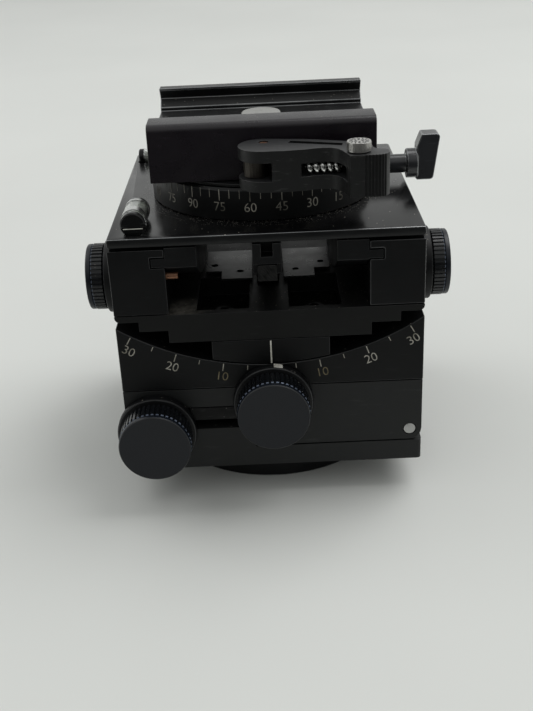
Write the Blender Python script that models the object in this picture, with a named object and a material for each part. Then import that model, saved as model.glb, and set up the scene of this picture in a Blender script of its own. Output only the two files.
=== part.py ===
"""Geared tripod head: two stacked gear-driven tilt cradles, a side-flip hinge below,
a graduated pan drum above and a lever clamp for dovetail camera plates.

Metres, +Z up. X points right, Y points away from the viewer.
The origin is the centre of the round base disc's underside.
"""
from math import asin, cos, dist, pi, radians, sin, sqrt, tan

import bmesh
import bpy

MM = 0.001

# Clearances
GAP = 0.3 * MM
TRIM = 0.1 * MM
OVERRUN = 2 * MM

# Facets on round shapes
ARC_STEPS = 24
ROD_SIDES = 24
HOLE_SIDES = 20
TURN_STEPS = 48
RING_STEPS = 24
WAY_SIDES = 72
CORNER_STEPS = 4
SMOOTH_ANGLE = radians(30)
EDGE_ANGLE = radians(60)

# Overall body
BODY_WIDTH = 85 * MM
BODY_DEPTH = 85 * MM
CORNER_R = 1.2 * MM

# Base disc and its thread bush
BASE_R = 34.5 * MM
BASE_H = 9.2 * MM
BASE_CHAMFER = 0.8 * MM
BUSH_R = 8 * MM
BUSH_BORE_R = 4.76 * MM

# Foot plate under the flip hinge
FOOT_H = 6.2 * MM
REST_H = 6.6 * MM
REST_END_X = -5.6 * MM
LUG_L = 18.3 * MM
LUG_RISE = 6.6 * MM
KEEL_HALF = 12 * MM
KEEL_INSET = 3.5 * MM
KEEL_CLEARANCE = 0.6 * MM
KEEL_RISE = 1.3 * MM

# Flip hinge
PIN_R = 1.65 * MM
PIN_INSET = 0.2 * MM
HINGE_R = 3.4 * MM
HINGE_RISE = 3.75 * MM
KNUCKLE_IN = 15 * MM
KNUCKLE_OUT = 27 * MM
KNUCKLE_CLEARANCE = 0.4 * MM

# Lower body block
BLOCK_H = 19.15 * MM
BLOCK_STEP_X = -5.2 * MM
SLAB_H = 5.8 * MM
STRIP_H = 4.0 * MM
TROUGH_R = 95 * MM
RACK_CHANNEL_HALF = 18.8 * MM

# Roll goniometer, about the Y axis
WALL_THICK = 15 * MM
WALL_WAIST = 6.7 * MM
WALL_ARC_R = 77 * MM
ROLL_GROOVE_IN_R = 79.2 * MM
ROLL_GROOVE_OUT_R = 82 * MM
ROLL_GROOVE_DEPTH = 3.1 * MM
ROLL_RAIL_W = 8 * MM
RAIL_ANGLE = radians(30.5)

# Gears
MODULE = 0.8 * MM
ADDENDUM_SHARE = 0.8
DEDENDUM_SHARE = 1.12
TOOTH_SHARE = 0.2
PRESSURE_ANGLE = radians(20)
PINION_TEETH = 12
ROLL_TEETH = 208
PITCH_TEETH = 198
ROLL_GEAR_W = 5.3 * MM
ROLL_GEAR_IN = 12.6 * MM
PITCH_GEAR_W = 7.2 * MM
RACK_W = 7.8 * MM

# Knobs and friction rings
KNOB_R = 10.26 * MM
KNOB_FACE_R = 9.8 * MM
KNOB_RIBS = 42
RIB_DEPTH = 0.4 * MM
RIB_TOP_SHARE = 0.5
KNOB_L = 7.7 * MM
KNOB_CAP = 2.4 * MM
RING_R = 11.3 * MM
RING_H = 2.7 * MM
RING_CHAMFER = 0.5 * MM
ROLL_SHAFT_R = 2.5 * MM
PITCH_SHAFT_R = 2.0 * MM
SIDE_KNOB_L = 5.3 * MM
SIDE_BOSS_L = 4.25 * MM

# Flip lock
FLIP_LOCK_INSET = 8.9 * MM
FLIP_LOCK_RISE = 7.1 * MM

# Cradle between the two goniometers
CRADLE_DROP = 69.1 * MM
FLOOR_H = 8.4 * MM
STEP_1_INSET = 14.5 * MM
STEP_1_H = 3.7 * MM
STEP_2_INSET = 6.5 * MM
STEP_2_H = 2.9 * MM
END_R = 1.5 * MM
POINTER_HALF = 16.4 * MM
POINTER_THICK = 3.2 * MM
POINTER_TRIM = 0.3 * MM
SHAFT_RISE = 4.1 * MM
BAR_HALF = 7.5 * MM
BAR_DROP = 1.9 * MM
BOSS_R = 4 * MM
POCKET_IN = 5.5 * MM
POCKET_OUT = 20 * MM
POCKET_NEAR = 16.5 * MM
POCKET_FAR = 40 * MM
POCKET_DEPTH = 5.5 * MM
TAB_TROUGH_R = 83.4 * MM
TAB_TROUGH_HALF = 3.1 * MM
RACK_TROUGH_R = 80.3 * MM
RACK_TROUGH_HALF = 4.3 * MM

# Side blocks and the pitch goniometer, about the X axis
SIDE_BLOCK_W = 15 * MM
SIDE_ARC_R = 74.1 * MM
PITCH_GROOVE_IN_R = 75.9 * MM
PITCH_GROOVE_OUT_R = 78.5 * MM
PITCH_GROOVE_DEPTH = 3.9 * MM
TOP_RAIL_W = 8.5 * MM
SKIRT_TRIM = 3 * MM
TONGUE_CLEARANCE = 0.3 * MM
RAIL_END_TRIM = 0.2 * MM
TOP_DROP = 60.1 * MM
TOP_H = 2.8 * MM
TOP_EDGE_R = 0.8 * MM
STOP_PIN_R = 1.0 * MM
STOP_PIN_INSET = 2.5 * MM
STOP_PIN_REACH = 3.2 * MM
STOP_PIN_DEPTH = 5 * MM
RACK_END_L = 4 * MM
RACK_END_DROP = 5.8 * MM
RACK_SLOT_HALF = 1.6 * MM
RACK_SLOT_H = 3.7 * MM
TAB_HALF = 2.7 * MM
TAB_THICK = 2.8 * MM
TAB_L = 4.7 * MM

# Cover plates over the pitch gear
COVER_THICK = 0.6 * MM
COVER_IN = 4.6 * MM
COVER_STEP_X = 13.7 * MM
COVER_OUT = 18.4 * MM
COVER_FRONT_Y = -20 * MM
COVER_STEP_Y = -13.7 * MM
COVER_BACK_Y = 3.4 * MM
COVER_HOLE_R = 1.0 * MM
COVER_HOLE_PLACES = ((15.9 * MM, -8.8 * MM), (8.2 * MM, -14.2 * MM))

# Spirit vials let into the top plate, one along each side
VIAL_OFFSET = 2.2 * MM
VIAL_R = 3.4 * MM
VIAL_RISE = 2.7 * MM
VIAL_FRONT_INSET = 2.7 * MM
VIAL_L = 14.5 * MM
VIAL_CAP_L = 1.6 * MM
VIAL_WALL = 1.1 * MM
CROSS_VIAL_OFFSET = 1.2 * MM
CROSS_VIAL_R = 2.6 * MM
CROSS_VIAL_RISE = 1.3 * MM
CROSS_VIAL_END_INSET = 1.8 * MM
CROSS_VIAL_WALL = 0.8 * MM

# Pan drum and rotor
DRUM_R = 33 * MM
DRUM_H = 8.8 * MM
DRUM_CHAMFER = 0.6 * MM
DRUM_WALL = 9 * MM
DRUM_LIP_W = 2.5 * MM
DRUM_LIP_H = 1.7 * MM
FLANGE_LIFT = 0.3 * MM
INDEX_DISC_INSET = 1 * MM
INDEX_DISC_H = 0.7 * MM

# Pan lock thumb screw
PAN_LOCK_RISE = 4.7 * MM
PAN_LOCK_R = 2 * MM
PAN_LOCK_NECK_R = 2.75 * MM
PAN_LOCK_BARREL_R = 4.35 * MM
PAN_LOCK_BARREL_L = 3.2 * MM
WING_L = 6.4 * MM
WING_THICK = 5.6 * MM
WING_UP = 9.1 * MM
WING_DOWN = 4.5 * MM
WING_R = 1.1 * MM
WING_TAPER = 1.6 * MM

# Clamp for dovetail plates
CLAMP_L = 61.5 * MM
CLAMP_H = 16 * MM
CLAMP_FLOOR_H = 9.2 * MM
CLAMP_BACK_Y = 22.3 * MM
CLAMP_SEAT_HALF = 17.6 * MM
V_HALF = 19.9 * MM
BACK_LIP_Y = 18 * MM
FRONT_LIP_Y = -18.4 * MM
LIP_H = 0.6 * MM
V_DROP = 3.3 * MM
LOWER_WALL_H = 1.1 * MM
FRONT_JAW_DROP = 0.4 * MM
CLAMP_CHAMFER = 1.5 * MM
JAW_FACE_Y = -28 * MM
JAW_EDGE_R = 2 * MM
CENTRE_SCREW_R = 3 * MM
CENTRE_SCREW_HEAD_R = 5.7 * MM
CENTRE_SCREW_HEAD_H = 4.5 * MM
CENTRE_SCREW_RISE = 2.7 * MM
CENTRE_SCREW_L = 19.8 * MM
GUIDE_X = 20 * MM
GUIDE_R = 1.5 * MM
GUIDE_RISE = 4.8 * MM
GUIDE_IN_BASE = 7 * MM
GUIDE_IN_JAW = 7.4 * MM
TIE_R = 2 * MM
TIE_IN_BASE = 5 * MM
TIE_RISE = 5.5 * MM
TIE_EYE_R = 3.2 * MM
TIE_EYE_H = 4.3 * MM

# Clamp lever, in plan
LEVER_H = 10.9 * MM
LEVER_LIFT = 0.2 * MM
CAM_R = 6.6 * MM
CAM_X = 0.2 * MM
CAM_OFFSET_X = 2.1 * MM
CAM_OFFSET_Y = 0.5 * MM
LEVER_PIN_R = 1.1 * MM
LEVER_PIN_COVER = 1 * MM
FORK_H = 4.9 * MM
FORK_END_X = 2.3 * MM
SLIT_DEPTH = 3.2 * MM

# Outline of the lever: place along the jaw, distance ahead of the jaw's face
LEVER_FRONT = (
    (2.5 * MM, 13.5 * MM), (5.4 * MM, 13.6 * MM), (8.2 * MM, 13.4 * MM), (11.1 * MM, 13.1 * MM),
    (13.2 * MM, 12.5 * MM), (15.5 * MM, 12.3 * MM), (17.6 * MM, 12.5 * MM), (19.2 * MM, 13.6 * MM),
    (20.4 * MM, 15.8 * MM), (21.2 * MM, 18.8 * MM), (21.9 * MM, 21.2 * MM),
)
LEVER_BACK = (
    (28.4 * MM, 13.9 * MM), (28.2 * MM, 10 * MM), (26.4 * MM, 7.6 * MM), (22.9 * MM, 7.1 * MM),
    (20.7 * MM, 6.1 * MM), (17.9 * MM, 5 * MM), (14 * MM, 3.5 * MM), (10.5 * MM, 2.5 * MM), (6.4 * MM, 1.7 * MM),
)
LEVER_SLIT = ((7.5 * MM, 3.5 * MM), (6.8 * MM, 5.8 * MM), (20.6 * MM, 10.7 * MM), (21 * MM, 8.4 * MM))
GRIP_RIB_X = 25.4 * MM
GRIP_END_X = 32.1 * MM
GRIP_R = 3.2 * MM
GRIP_RIBS = 7
GRIP_RIB_PITCH = 0.84 * MM
GRIP_RIB_DEPTH = 0.3 * MM
GRIP_RIB_SHARES = ((0.15, 0), (0.35, 1), (0.65, 1), (0.85, 0))

# Safety catch in the lever's grip
SAFETY_X = 24.4 * MM
SAFETY_AHEAD = 17.2 * MM
SAFETY_R = 3.05 * MM
SAFETY_H = 2.4 * MM
SAFETY_POST_R = 1 * MM
SAFETY_TRAVEL = 1.2 * MM
SLIDER_L = 3.6 * MM
SLIDER_HALF_W = 1.5 * MM
SLIDER_RISE = 3.95 * MM
SLIDER_H = 3 * MM
SLIDER_ARM_HALF = 1.2 * MM
SPRING_R = 1.45 * MM
SPRING_WIRE_R = 0.4 * MM
SPRING_TURNS = 5
SPRING_STEPS = 9
SPRING_START_X = 10.4 * MM
SPRING_L = 10.5 * MM
SPRING_SLOT_X = 9.9 * MM
SPRING_AHEAD = 10.45 * MM
ANCHOR_PIN_R = 1.1 * MM
ANCHOR_PIN_X = 0.4 * MM
ANCHOR_AHEAD = 3.7 * MM
ANCHOR_PIN_L = 2.6 * MM

# Levels, from the underside up
FOOT_Z = BASE_H + GAP
FOOT_TOP_Z = FOOT_Z + FOOT_H
REST_Z = FOOT_TOP_Z + REST_H
LUG_Z = REST_Z + LUG_RISE
PIN_Z = FOOT_TOP_Z + HINGE_RISE
PIN_X = BODY_WIDTH / 2 - HINGE_R - TRIM
BLOCK_Z = PIN_Z - HINGE_R
BLOCK_TOP_Z = BLOCK_Z + BLOCK_H
SLAB_Z = BLOCK_TOP_Z - SLAB_H
KEEL_Z = FOOT_TOP_Z + KEEL_RISE
WALL_Z = BLOCK_TOP_Z + GAP
ROLL_Z = WALL_Z + WALL_WAIST + WALL_ARC_R
ROLL_SHAFT_Z = ROLL_Z - MODULE * (ROLL_TEETH + PINION_TEETH) / 2
FLIP_LOCK_Z = FOOT_TOP_Z + FLIP_LOCK_RISE
FLOOR_Z = ROLL_Z - CRADLE_DROP
FLOOR_TOP_Z = FLOOR_Z + FLOOR_H
SIDE_BLOCK_Z = FLOOR_TOP_Z + GAP
PITCH_SHAFT_Z = FLOOR_Z + SHAFT_RISE
PITCH_Z = PITCH_SHAFT_Z + MODULE * (PITCH_TEETH + PINION_TEETH) / 2
TOP_Z = PITCH_Z - TOP_DROP
TOP_FACE_Z = TOP_Z + TOP_H
DRUM_Z = TOP_FACE_Z + GAP
DRUM_TOP_Z = DRUM_Z + DRUM_H
INDEX_Z = DRUM_TOP_Z + GAP
CLAMP_Z = INDEX_Z + INDEX_DISC_H + GAP
CLAMP_FLOOR_Z = CLAMP_Z + CLAMP_FLOOR_H
CLAMP_TOP_Z = CLAMP_Z + CLAMP_H
PAN_LOCK_Z = DRUM_Z + PAN_LOCK_RISE

# Faces
HALF_W = BODY_WIDTH / 2
HALF_D = BODY_DEPTH / 2
BLOCK_HALF_D = HALF_D - TRIM
CHANNEL_HALF = HALF_D - WALL_THICK
CAVITY_HALF = HALF_W - SIDE_BLOCK_W
DRUM_BORE_R = DRUM_R - DRUM_WALL
DRUM_LIP_R = DRUM_BORE_R - DRUM_LIP_W
INDEX_DISC_R = DRUM_R - INDEX_DISC_INSET
LUG_END_X = -HALF_W + LUG_L
KEEL_END_X = -HALF_W + KEEL_INSET
FLIP_LOCK_X = -HALF_W + FLIP_LOCK_INSET
SIDE_RING_IN = HALF_W + SIDE_BOSS_L + GAP
SIDE_RING_OUT = SIDE_RING_IN + RING_H
STOP_PIN_Y = -HALF_D + STOP_PIN_INSET
PAN_LOCK_BARREL_X = HALF_W - TRIM
RAIL_TOP_Z = FLOOR_Z - GAP
TOP_RAIL_TOP_Z = TOP_Z - GAP


def clear_scene():
    for thing in list(bpy.data.objects):
        bpy.data.objects.remove(thing, do_unlink=True)


def material(name, colour, roughness, metallic):
    """A plain surface with the piece's colour, roughness and metal value."""
    surface = bpy.data.materials.new(name)
    surface.use_nodes = True
    shader = surface.node_tree.nodes["Principled BSDF"]
    shader.inputs["Base Color"].default_value = (*colour, 1)
    shader.inputs["Roughness"].default_value = roughness
    shader.inputs["Metallic"].default_value = metallic
    return surface


def circle(centre, radius, sides):
    return arc(centre, radius, 0, 2 * pi, sides)[:-1]


def arc(centre, radius, start, end, steps):
    """Points on a circle from one angle to the other, both ends included."""
    turn = (end - start) / steps
    return [
        (centre[0] + radius * cos(start + turn * i), centre[1] + radius * sin(start + turn * i))
        for i in range(steps + 1)
    ]


def low_arc(centre, radius, half_angle, steps):
    """An arc below its centre, from left to right."""
    return arc(centre, radius, -pi / 2 - half_angle, -pi / 2 + half_angle, steps)


def mirrored(points):
    """The points, then their mirror images in reverse order."""
    return points + [(-u, v) for u, v in reversed(points)]


def rectangle(u_low, u_high, v_low, v_high):
    return [(u_low, v_low), (u_high, v_low), (u_high, v_high), (u_low, v_high)]


def placed(axis, u, v, w):
    """Turn outline coordinates and a distance along the axis into a point."""
    return {"X": (w, u, v), "Y": (u, w, v), "Z": (u, v, w)}[axis]


def link_mesh(name, mesh):
    thing = bpy.data.objects.new(name, mesh)
    bpy.context.scene.collection.objects.link(thing)
    return thing


def prism(name, outline, axis, low, high):
    """Extrude an outline along an axis: (y, z) for X, (x, z) for Y and (x, y) for Z."""
    shape = bmesh.new()
    bottom = [shape.verts.new(placed(axis, u, v, low)) for u, v in outline]
    base = shape.faces.new(bottom)
    made = bmesh.ops.extrude_face_region(shape, geom=[base])
    top = [item for item in made["geom"] if isinstance(item, bmesh.types.BMVert)]
    step = [0, 0, 0]
    step["XYZ".index(axis)] = high - low
    bmesh.ops.translate(shape, verts=top, vec=step)
    bmesh.ops.recalc_face_normals(shape, faces=shape.faces)
    mesh = bpy.data.meshes.new(name)
    shape.to_mesh(mesh)
    shape.free()
    return link_mesh(name, mesh)


def box(name, x_low, x_high, y_low, y_high, z_low, z_high):
    return prism(name, rectangle(x_low, x_high, y_low, y_high), "Z", z_low, z_high)


def rod(name, axis, centre, radius, low, high, sides=ROD_SIDES):
    return prism(name, circle(centre, radius, sides), axis, low, high)


def turned(name, profile, axis, centre, steps=TURN_STEPS):
    """Turn a closed profile of (radius, distance along the axis) about the axis."""
    shape = bmesh.new()
    rings = []
    for i in range(steps):
        angle = 2 * pi * i / steps
        ring = []
        for radius, along in profile:
            u = centre[0] + radius * cos(angle)
            v = centre[1] + radius * sin(angle)
            ring.append(shape.verts.new(placed(axis, u, v, along)))
        rings.append(ring)
    count = len(profile)
    for i in range(steps):
        here, there = rings[i], rings[(i + 1) % steps]
        for j in range(count):
            k = (j + 1) % count
            shape.faces.new((here[j], here[k], there[k], there[j]))
    bmesh.ops.recalc_face_normals(shape, faces=shape.faces)
    mesh = bpy.data.meshes.new(name)
    shape.to_mesh(mesh)
    shape.free()
    return link_mesh(name, mesh)


def combine(thing, others, operation):
    """Add or cut shapes, bake the result and remove the shapes."""
    for other in others:
        step = thing.modifiers.new(other.name, "BOOLEAN")
        step.operation = operation
        step.solver = "EXACT"
        step.object = other
    graph = bpy.context.evaluated_depsgraph_get()
    baked = bpy.data.meshes.new_from_object(thing.evaluated_get(graph))
    thing.modifiers.clear()
    thing.data = baked
    for other in others:
        bpy.data.objects.remove(other, do_unlink=True)
    return thing


def cut(thing, *others):
    return combine(thing, others, "DIFFERENCE")


def join(thing, *others):
    return combine(thing, others, "UNION")


def soften(thing, width, segments=1):
    """Break the sharp outer edges."""
    step = thing.modifiers.new("edge break", "BEVEL")
    step.width = width
    step.segments = segments
    step.limit_method = "ANGLE"
    step.angle_limit = EDGE_ANGLE


def finish(thing, surface):
    """Give the piece its material and smooth its round faces."""
    thing.data.materials.clear()
    thing.data.materials.append(surface)
    thing.data.shade_smooth()
    thing.data.set_sharp_from_angle(angle=SMOOTH_ANGLE)
    return thing


def tooth_points(teeth, index, outward_half, phase):
    """The four corners of one straight-flanked tooth, as (angle, radius)."""
    pitch_r = MODULE * teeth / 2
    tip_r = pitch_r + MODULE * ADDENDUM_SHARE
    root_r = pitch_r - MODULE * DEDENDUM_SHARE
    middle = phase + 2 * pi * index / teeth
    tip_half = (outward_half - MODULE * ADDENDUM_SHARE * tan(PRESSURE_ANGLE)) / tip_r
    root_half = (outward_half + MODULE * DEDENDUM_SHARE * tan(PRESSURE_ANGLE)) / root_r
    return [
        (middle - root_half, root_r),
        (middle - tip_half, tip_r),
        (middle + tip_half, tip_r),
        (middle + root_half, root_r),
    ]


def gear_outline(centre, teeth, phase):
    half = pi * MODULE * TOOTH_SHARE
    points = []
    for i in range(teeth):
        for angle, radius in tooth_points(teeth, i, half, phase):
            points.append((centre[0] + radius * cos(angle), centre[1] + radius * sin(angle)))
    return points


def rack_teeth(centre, teeth, half_angle):
    """A run of teeth on the underside of a sector, from left to right."""
    half = pi * MODULE * TOOTH_SHARE
    step = 2 * pi / teeth
    count = int(half_angle / step)
    points = []
    for i in range(-count, count):
        for angle, radius in tooth_points(teeth, i + 0.5, half, -pi / 2):
            points.append((centre[0] + radius * cos(angle), centre[1] + radius * sin(angle)))
    return points


def knob(name, axis, centre, inner, outer, shaft_r):
    """A ribbed knob with a plain cap, from its inner end to its outer face."""
    sign = 1 if outer > inner else -1
    outline = []
    for i in range(KNOB_RIBS):
        for share, radius in ((0, KNOB_R), (RIB_TOP_SHARE, KNOB_R - RIB_DEPTH)):
            angle = 2 * pi * (i + share) / KNOB_RIBS
            outline.append((centre[0] + radius * cos(angle), centre[1] + radius * sin(angle)))
    cap_start = outer - sign * (KNOB_R - KNOB_FACE_R)
    body = prism(name, outline, axis, *sorted((inner, cap_start)))
    cap = rod("cap", axis, centre, KNOB_FACE_R, *sorted((cap_start - sign * GAP, outer)), sides=KNOB_RIBS)
    bore_end = outer - sign * KNOB_CAP
    bore = rod("bore", axis, centre, shaft_r + GAP, *sorted((inner - sign * OVERRUN, bore_end)))
    return cut(join(body, cap), bore)


def friction_ring(name, axis, centre, inner, outer, shaft_r):
    sign = 1 if outer > inner else -1
    bore_r = shaft_r + GAP
    profile = [
        (bore_r, inner),
        (RING_R, inner),
        (RING_R, outer - sign * RING_CHAMFER),
        (RING_R - RING_CHAMFER, outer),
        (bore_r, outer),
    ]
    return turned(name, profile, axis, centre, RING_STEPS)


def base_pieces(black, steel):
    profile = [
        (BUSH_R + GAP, 0),
        (BASE_R - BASE_CHAMFER, 0),
        (BASE_R, BASE_CHAMFER),
        (BASE_R, BASE_H),
        (BUSH_R + GAP, BASE_H),
    ]
    disc = turned("base_disc", profile, "Z", (0, 0))
    wall = [(BUSH_BORE_R, 0), (BUSH_R, 0), (BUSH_R, BASE_H), (BUSH_BORE_R, BASE_H)]
    bush = turned("thread_bush", wall, "Z", (0, 0), RING_STEPS)
    corner = CORNER_R
    plan = []
    for sx, sy, start in ((1, 1, 0), (-1, 1, pi / 2), (-1, -1, pi), (1, -1, 3 * pi / 2)):
        centre = (sx * (HALF_W - corner), sy * (HALF_D - corner))
        plan += arc(centre, corner, start, start + pi / 2, CORNER_STEPS)
    plate = prism("foot_plate", plan, "Z", FOOT_Z, FOOT_TOP_Z)
    rest = box("rest", -HALF_W, REST_END_X, -HALF_D, HALF_D, FOOT_TOP_Z - GAP, REST_Z)
    lug = box("lug", -HALF_W, LUG_END_X, -HALF_D, HALF_D, FOOT_TOP_Z, LUG_Z)
    knuckles = []
    for sign in (-1, 1):
        low, high = sorted((sign * KNUCKLE_IN, sign * KNUCKLE_OUT))
        outline = [(PIN_X - HINGE_R, FOOT_TOP_Z - GAP), (PIN_X + HINGE_R, FOOT_TOP_Z - GAP)]
        outline += arc((PIN_X, PIN_Z), HINGE_R, 0, pi, ROD_SIDES // 2)
        knuckles.append(prism("knuckle", outline, "Y", low, high))
    join(plate, rest, lug, *knuckles)
    channel_end = KEEL_END_X - KEEL_CLEARANCE
    channel_half = KEEL_HALF + GAP
    cut(
        plate,
        box("channel", channel_end, 0, -channel_half, channel_half, FOOT_TOP_Z, LUG_Z + OVERRUN),
        rod("pin way", "Y", (PIN_X, PIN_Z), PIN_R + GAP, -HALF_D - OVERRUN, HALF_D + OVERRUN),
        rod("lock way", "Y", (FLIP_LOCK_X, FLIP_LOCK_Z), ROLL_SHAFT_R + GAP, -HALF_D - OVERRUN, 0),
    )
    pin = rod("hinge_pin", "Y", (PIN_X, PIN_Z), PIN_R, -HALF_D + PIN_INSET, HALF_D - PIN_INSET)
    for piece, surface in ((disc, black), (bush, steel), (plate, black), (pin, steel)):
        finish(piece, surface)


def flip_lock_pieces(black, steel, knob_grey):
    centre = (FLIP_LOCK_X, FLIP_LOCK_Z)
    ring_in = -HALF_D - GAP
    ring_out = ring_in - RING_H
    face = ring_out - GAP - KNOB_L
    screw_end = face + KNOB_CAP + GAP
    finish(friction_ring("flip_lock_collar", "Y", centre, ring_in, ring_out, ROLL_SHAFT_R), black)
    finish(knob("flip_lock_knob", "Y", centre, ring_out - GAP, face, ROLL_SHAFT_R), knob_grey)
    finish(rod("flip_lock_screw", "Y", centre, ROLL_SHAFT_R, screw_end, -KEEL_HALF - GAP), steel)


def body_block(black, dark):
    """The block that flips on the hinge pin, hollowed for the roll gears and the side knobs."""
    outline = [(BLOCK_STEP_X, BLOCK_Z)]
    outline += arc((PIN_X, PIN_Z), HINGE_R, -pi / 2, 0, CORNER_STEPS)
    outline += [
        (PIN_X + HINGE_R, BLOCK_TOP_Z),
        (-HALF_W, BLOCK_TOP_Z),
        (-HALF_W, SLAB_Z),
        (BLOCK_STEP_X, SLAB_Z),
    ]
    block = prism("body_block", outline, "Y", -BLOCK_HALF_D, BLOCK_HALF_D)
    join(block, box("keel", KEEL_END_X, 0, -KEEL_HALF, KEEL_HALF, KEEL_Z, SLAB_Z + GAP))
    rack_r = MODULE * (ROLL_TEETH / 2 + ADDENDUM_SHARE) + 2 * GAP
    pinion_r = MODULE * (PINION_TEETH / 2 + ADDENDUM_SHARE) + 2 * GAP
    pin_slot = HINGE_R + KNUCKLE_CLEARANCE
    reach = HALF_D + OVERRUN
    shaft = (0, ROLL_SHAFT_Z)
    gear_out = ROLL_GEAR_IN + ROLL_GEAR_W + 2 * GAP
    cut(
        block,
        rod("trough", "Y", (0, ROLL_Z), TROUGH_R, -KEEL_HALF, KEEL_HALF, WAY_SIDES),
        rod("rack way", "Y", (0, ROLL_Z), rack_r, -RACK_CHANNEL_HALF, RACK_CHANNEL_HALF, WAY_SIDES),
        rod("pinion way", "Y", shaft, pinion_r, -gear_out, gear_out),
        rod("shaft way", "Y", shaft, ROLL_SHAFT_R + GAP, -reach, reach),
        rod("pin way", "Y", (PIN_X, PIN_Z), PIN_R + GAP, -reach, reach),
    )
    for sign in (-1, 1):
        low = min(sign * KNUCKLE_IN, sign * KNUCKLE_OUT) - GAP
        high = max(sign * KNUCKLE_IN, sign * KNUCKLE_OUT) + GAP
        cut(
            block,
            box("knuckle way", PIN_X - pin_slot, HALF_W + OVERRUN, low, high,
                BLOCK_Z - OVERRUN, PIN_Z + pin_slot),
        )
    strip_low = SLAB_Z - GAP - STRIP_H
    ends = (LUG_END_X + GAP, BLOCK_STEP_X - GAP)
    for name, sign in (("spacer_strip_front", -1), ("spacer_strip_rear", 1)):
        low, high = sorted((sign * (KEEL_HALF + GAP), sign * BLOCK_HALF_D))
        finish(box(name, *ends, low, high, strip_low, SLAB_Z - GAP), dark)
    finish(block, black)


def arc_walls(black):
    """Front and rear walls whose concave tops and inner grooves guide the roll cradle."""
    half_angle = asin(HALF_W / WALL_ARC_R)
    outline = [(HALF_W, WALL_Z), (-HALF_W, WALL_Z)]
    outline += low_arc((0, ROLL_Z), WALL_ARC_R, half_angle, ARC_STEPS)
    reach = asin((HALF_W + OVERRUN) / ROLL_GROOVE_IN_R)
    for name, sign in (("arc_wall_front", -1), ("arc_wall_rear", 1)):
        low, high = sorted((sign * CHANNEL_HALF, sign * HALF_D))
        wall = prism(name, outline, "Y", low, high)
        groove = low_arc((0, ROLL_Z), ROLL_GROOVE_OUT_R, reach, ARC_STEPS)
        groove += reversed(low_arc((0, ROLL_Z), ROLL_GROOVE_IN_R, reach, ARC_STEPS))
        ends = sorted((sign * (CHANNEL_HALF - OVERRUN), sign * (CHANNEL_HALF + ROLL_GROOVE_DEPTH)))
        finish(cut(wall, prism("groove", groove, "Y", *ends)), black)


def roll_drive(black, steel, brass, knob_grey):
    """The roll shaft with a knob at each end, two pinions and two friction rings."""
    shaft = (0, ROLL_SHAFT_Z)
    ring_in = HALF_D + GAP
    ring_out = ring_in + RING_H
    face = ring_out + GAP + KNOB_L
    end = face - KNOB_CAP - GAP
    finish(rod("roll_shaft", "Y", shaft, ROLL_SHAFT_R, -end, end), steel)
    for name, sign in (("front", -1), ("rear", 1)):
        ring = friction_ring(f"roll_ring_{name}", "Y", shaft, sign * ring_in, sign * ring_out, ROLL_SHAFT_R)
        finish(ring, black)
        grip = knob(f"roll_knob_{name}", "Y", shaft, sign * (ring_out + GAP), sign * face, ROLL_SHAFT_R)
        finish(grip, knob_grey)
        low, high = sorted((sign * ROLL_GEAR_IN, sign * (ROLL_GEAR_IN + ROLL_GEAR_W)))
        gear = prism(f"roll_pinion_{name}", gear_outline(shaft, PINION_TEETH, pi / 2), "Y", low, high)
        cut(gear, rod("bore", "Y", shaft, ROLL_SHAFT_R + GAP, low - OVERRUN, high + OVERRUN))
        finish(gear, brass)


def roll_runners(black, brass):
    """Toothed sectors and tongued rails that carry the cradle in the walls' grooves."""
    centre = (0, ROLL_Z)
    rail_r = ROLL_GROOVE_OUT_R - TONGUE_CLEARANCE
    tongue_r = ROLL_GROOVE_IN_R + TONGUE_CLEARANCE
    for name, sign in (("front", -1), ("rear", 1)):
        low, high = sorted((sign * ROLL_GEAR_IN, sign * (ROLL_GEAR_IN + ROLL_GEAR_W)))
        teeth = rack_teeth(centre, ROLL_TEETH, RAIL_ANGLE)
        outline = teeth + [(teeth[-1][0], RAIL_TOP_Z), (teeth[0][0], RAIL_TOP_Z)]
        finish(prism(f"roll_rack_{name}", outline, "Y", low, high), brass)
        run = low_arc(centre, rail_r, RAIL_ANGLE, ARC_STEPS)
        outline = run + [(run[-1][0], RAIL_TOP_Z), (run[0][0], RAIL_TOP_Z)]
        outer = CHANNEL_HALF - GAP
        low, high = sorted((sign * (outer - ROLL_RAIL_W), sign * outer))
        rail = prism(f"roll_rail_{name}", outline, "Y", low, high)
        tongue = run + low_arc(centre, tongue_r, RAIL_ANGLE, ARC_STEPS)[::-1]
        depth = CHANNEL_HALF + ROLL_GROOVE_DEPTH - GAP
        low, high = sorted((sign * (outer - GAP), sign * depth))
        finish(join(rail, prism("tongue", tongue, "Y", low, high)), black)


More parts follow.
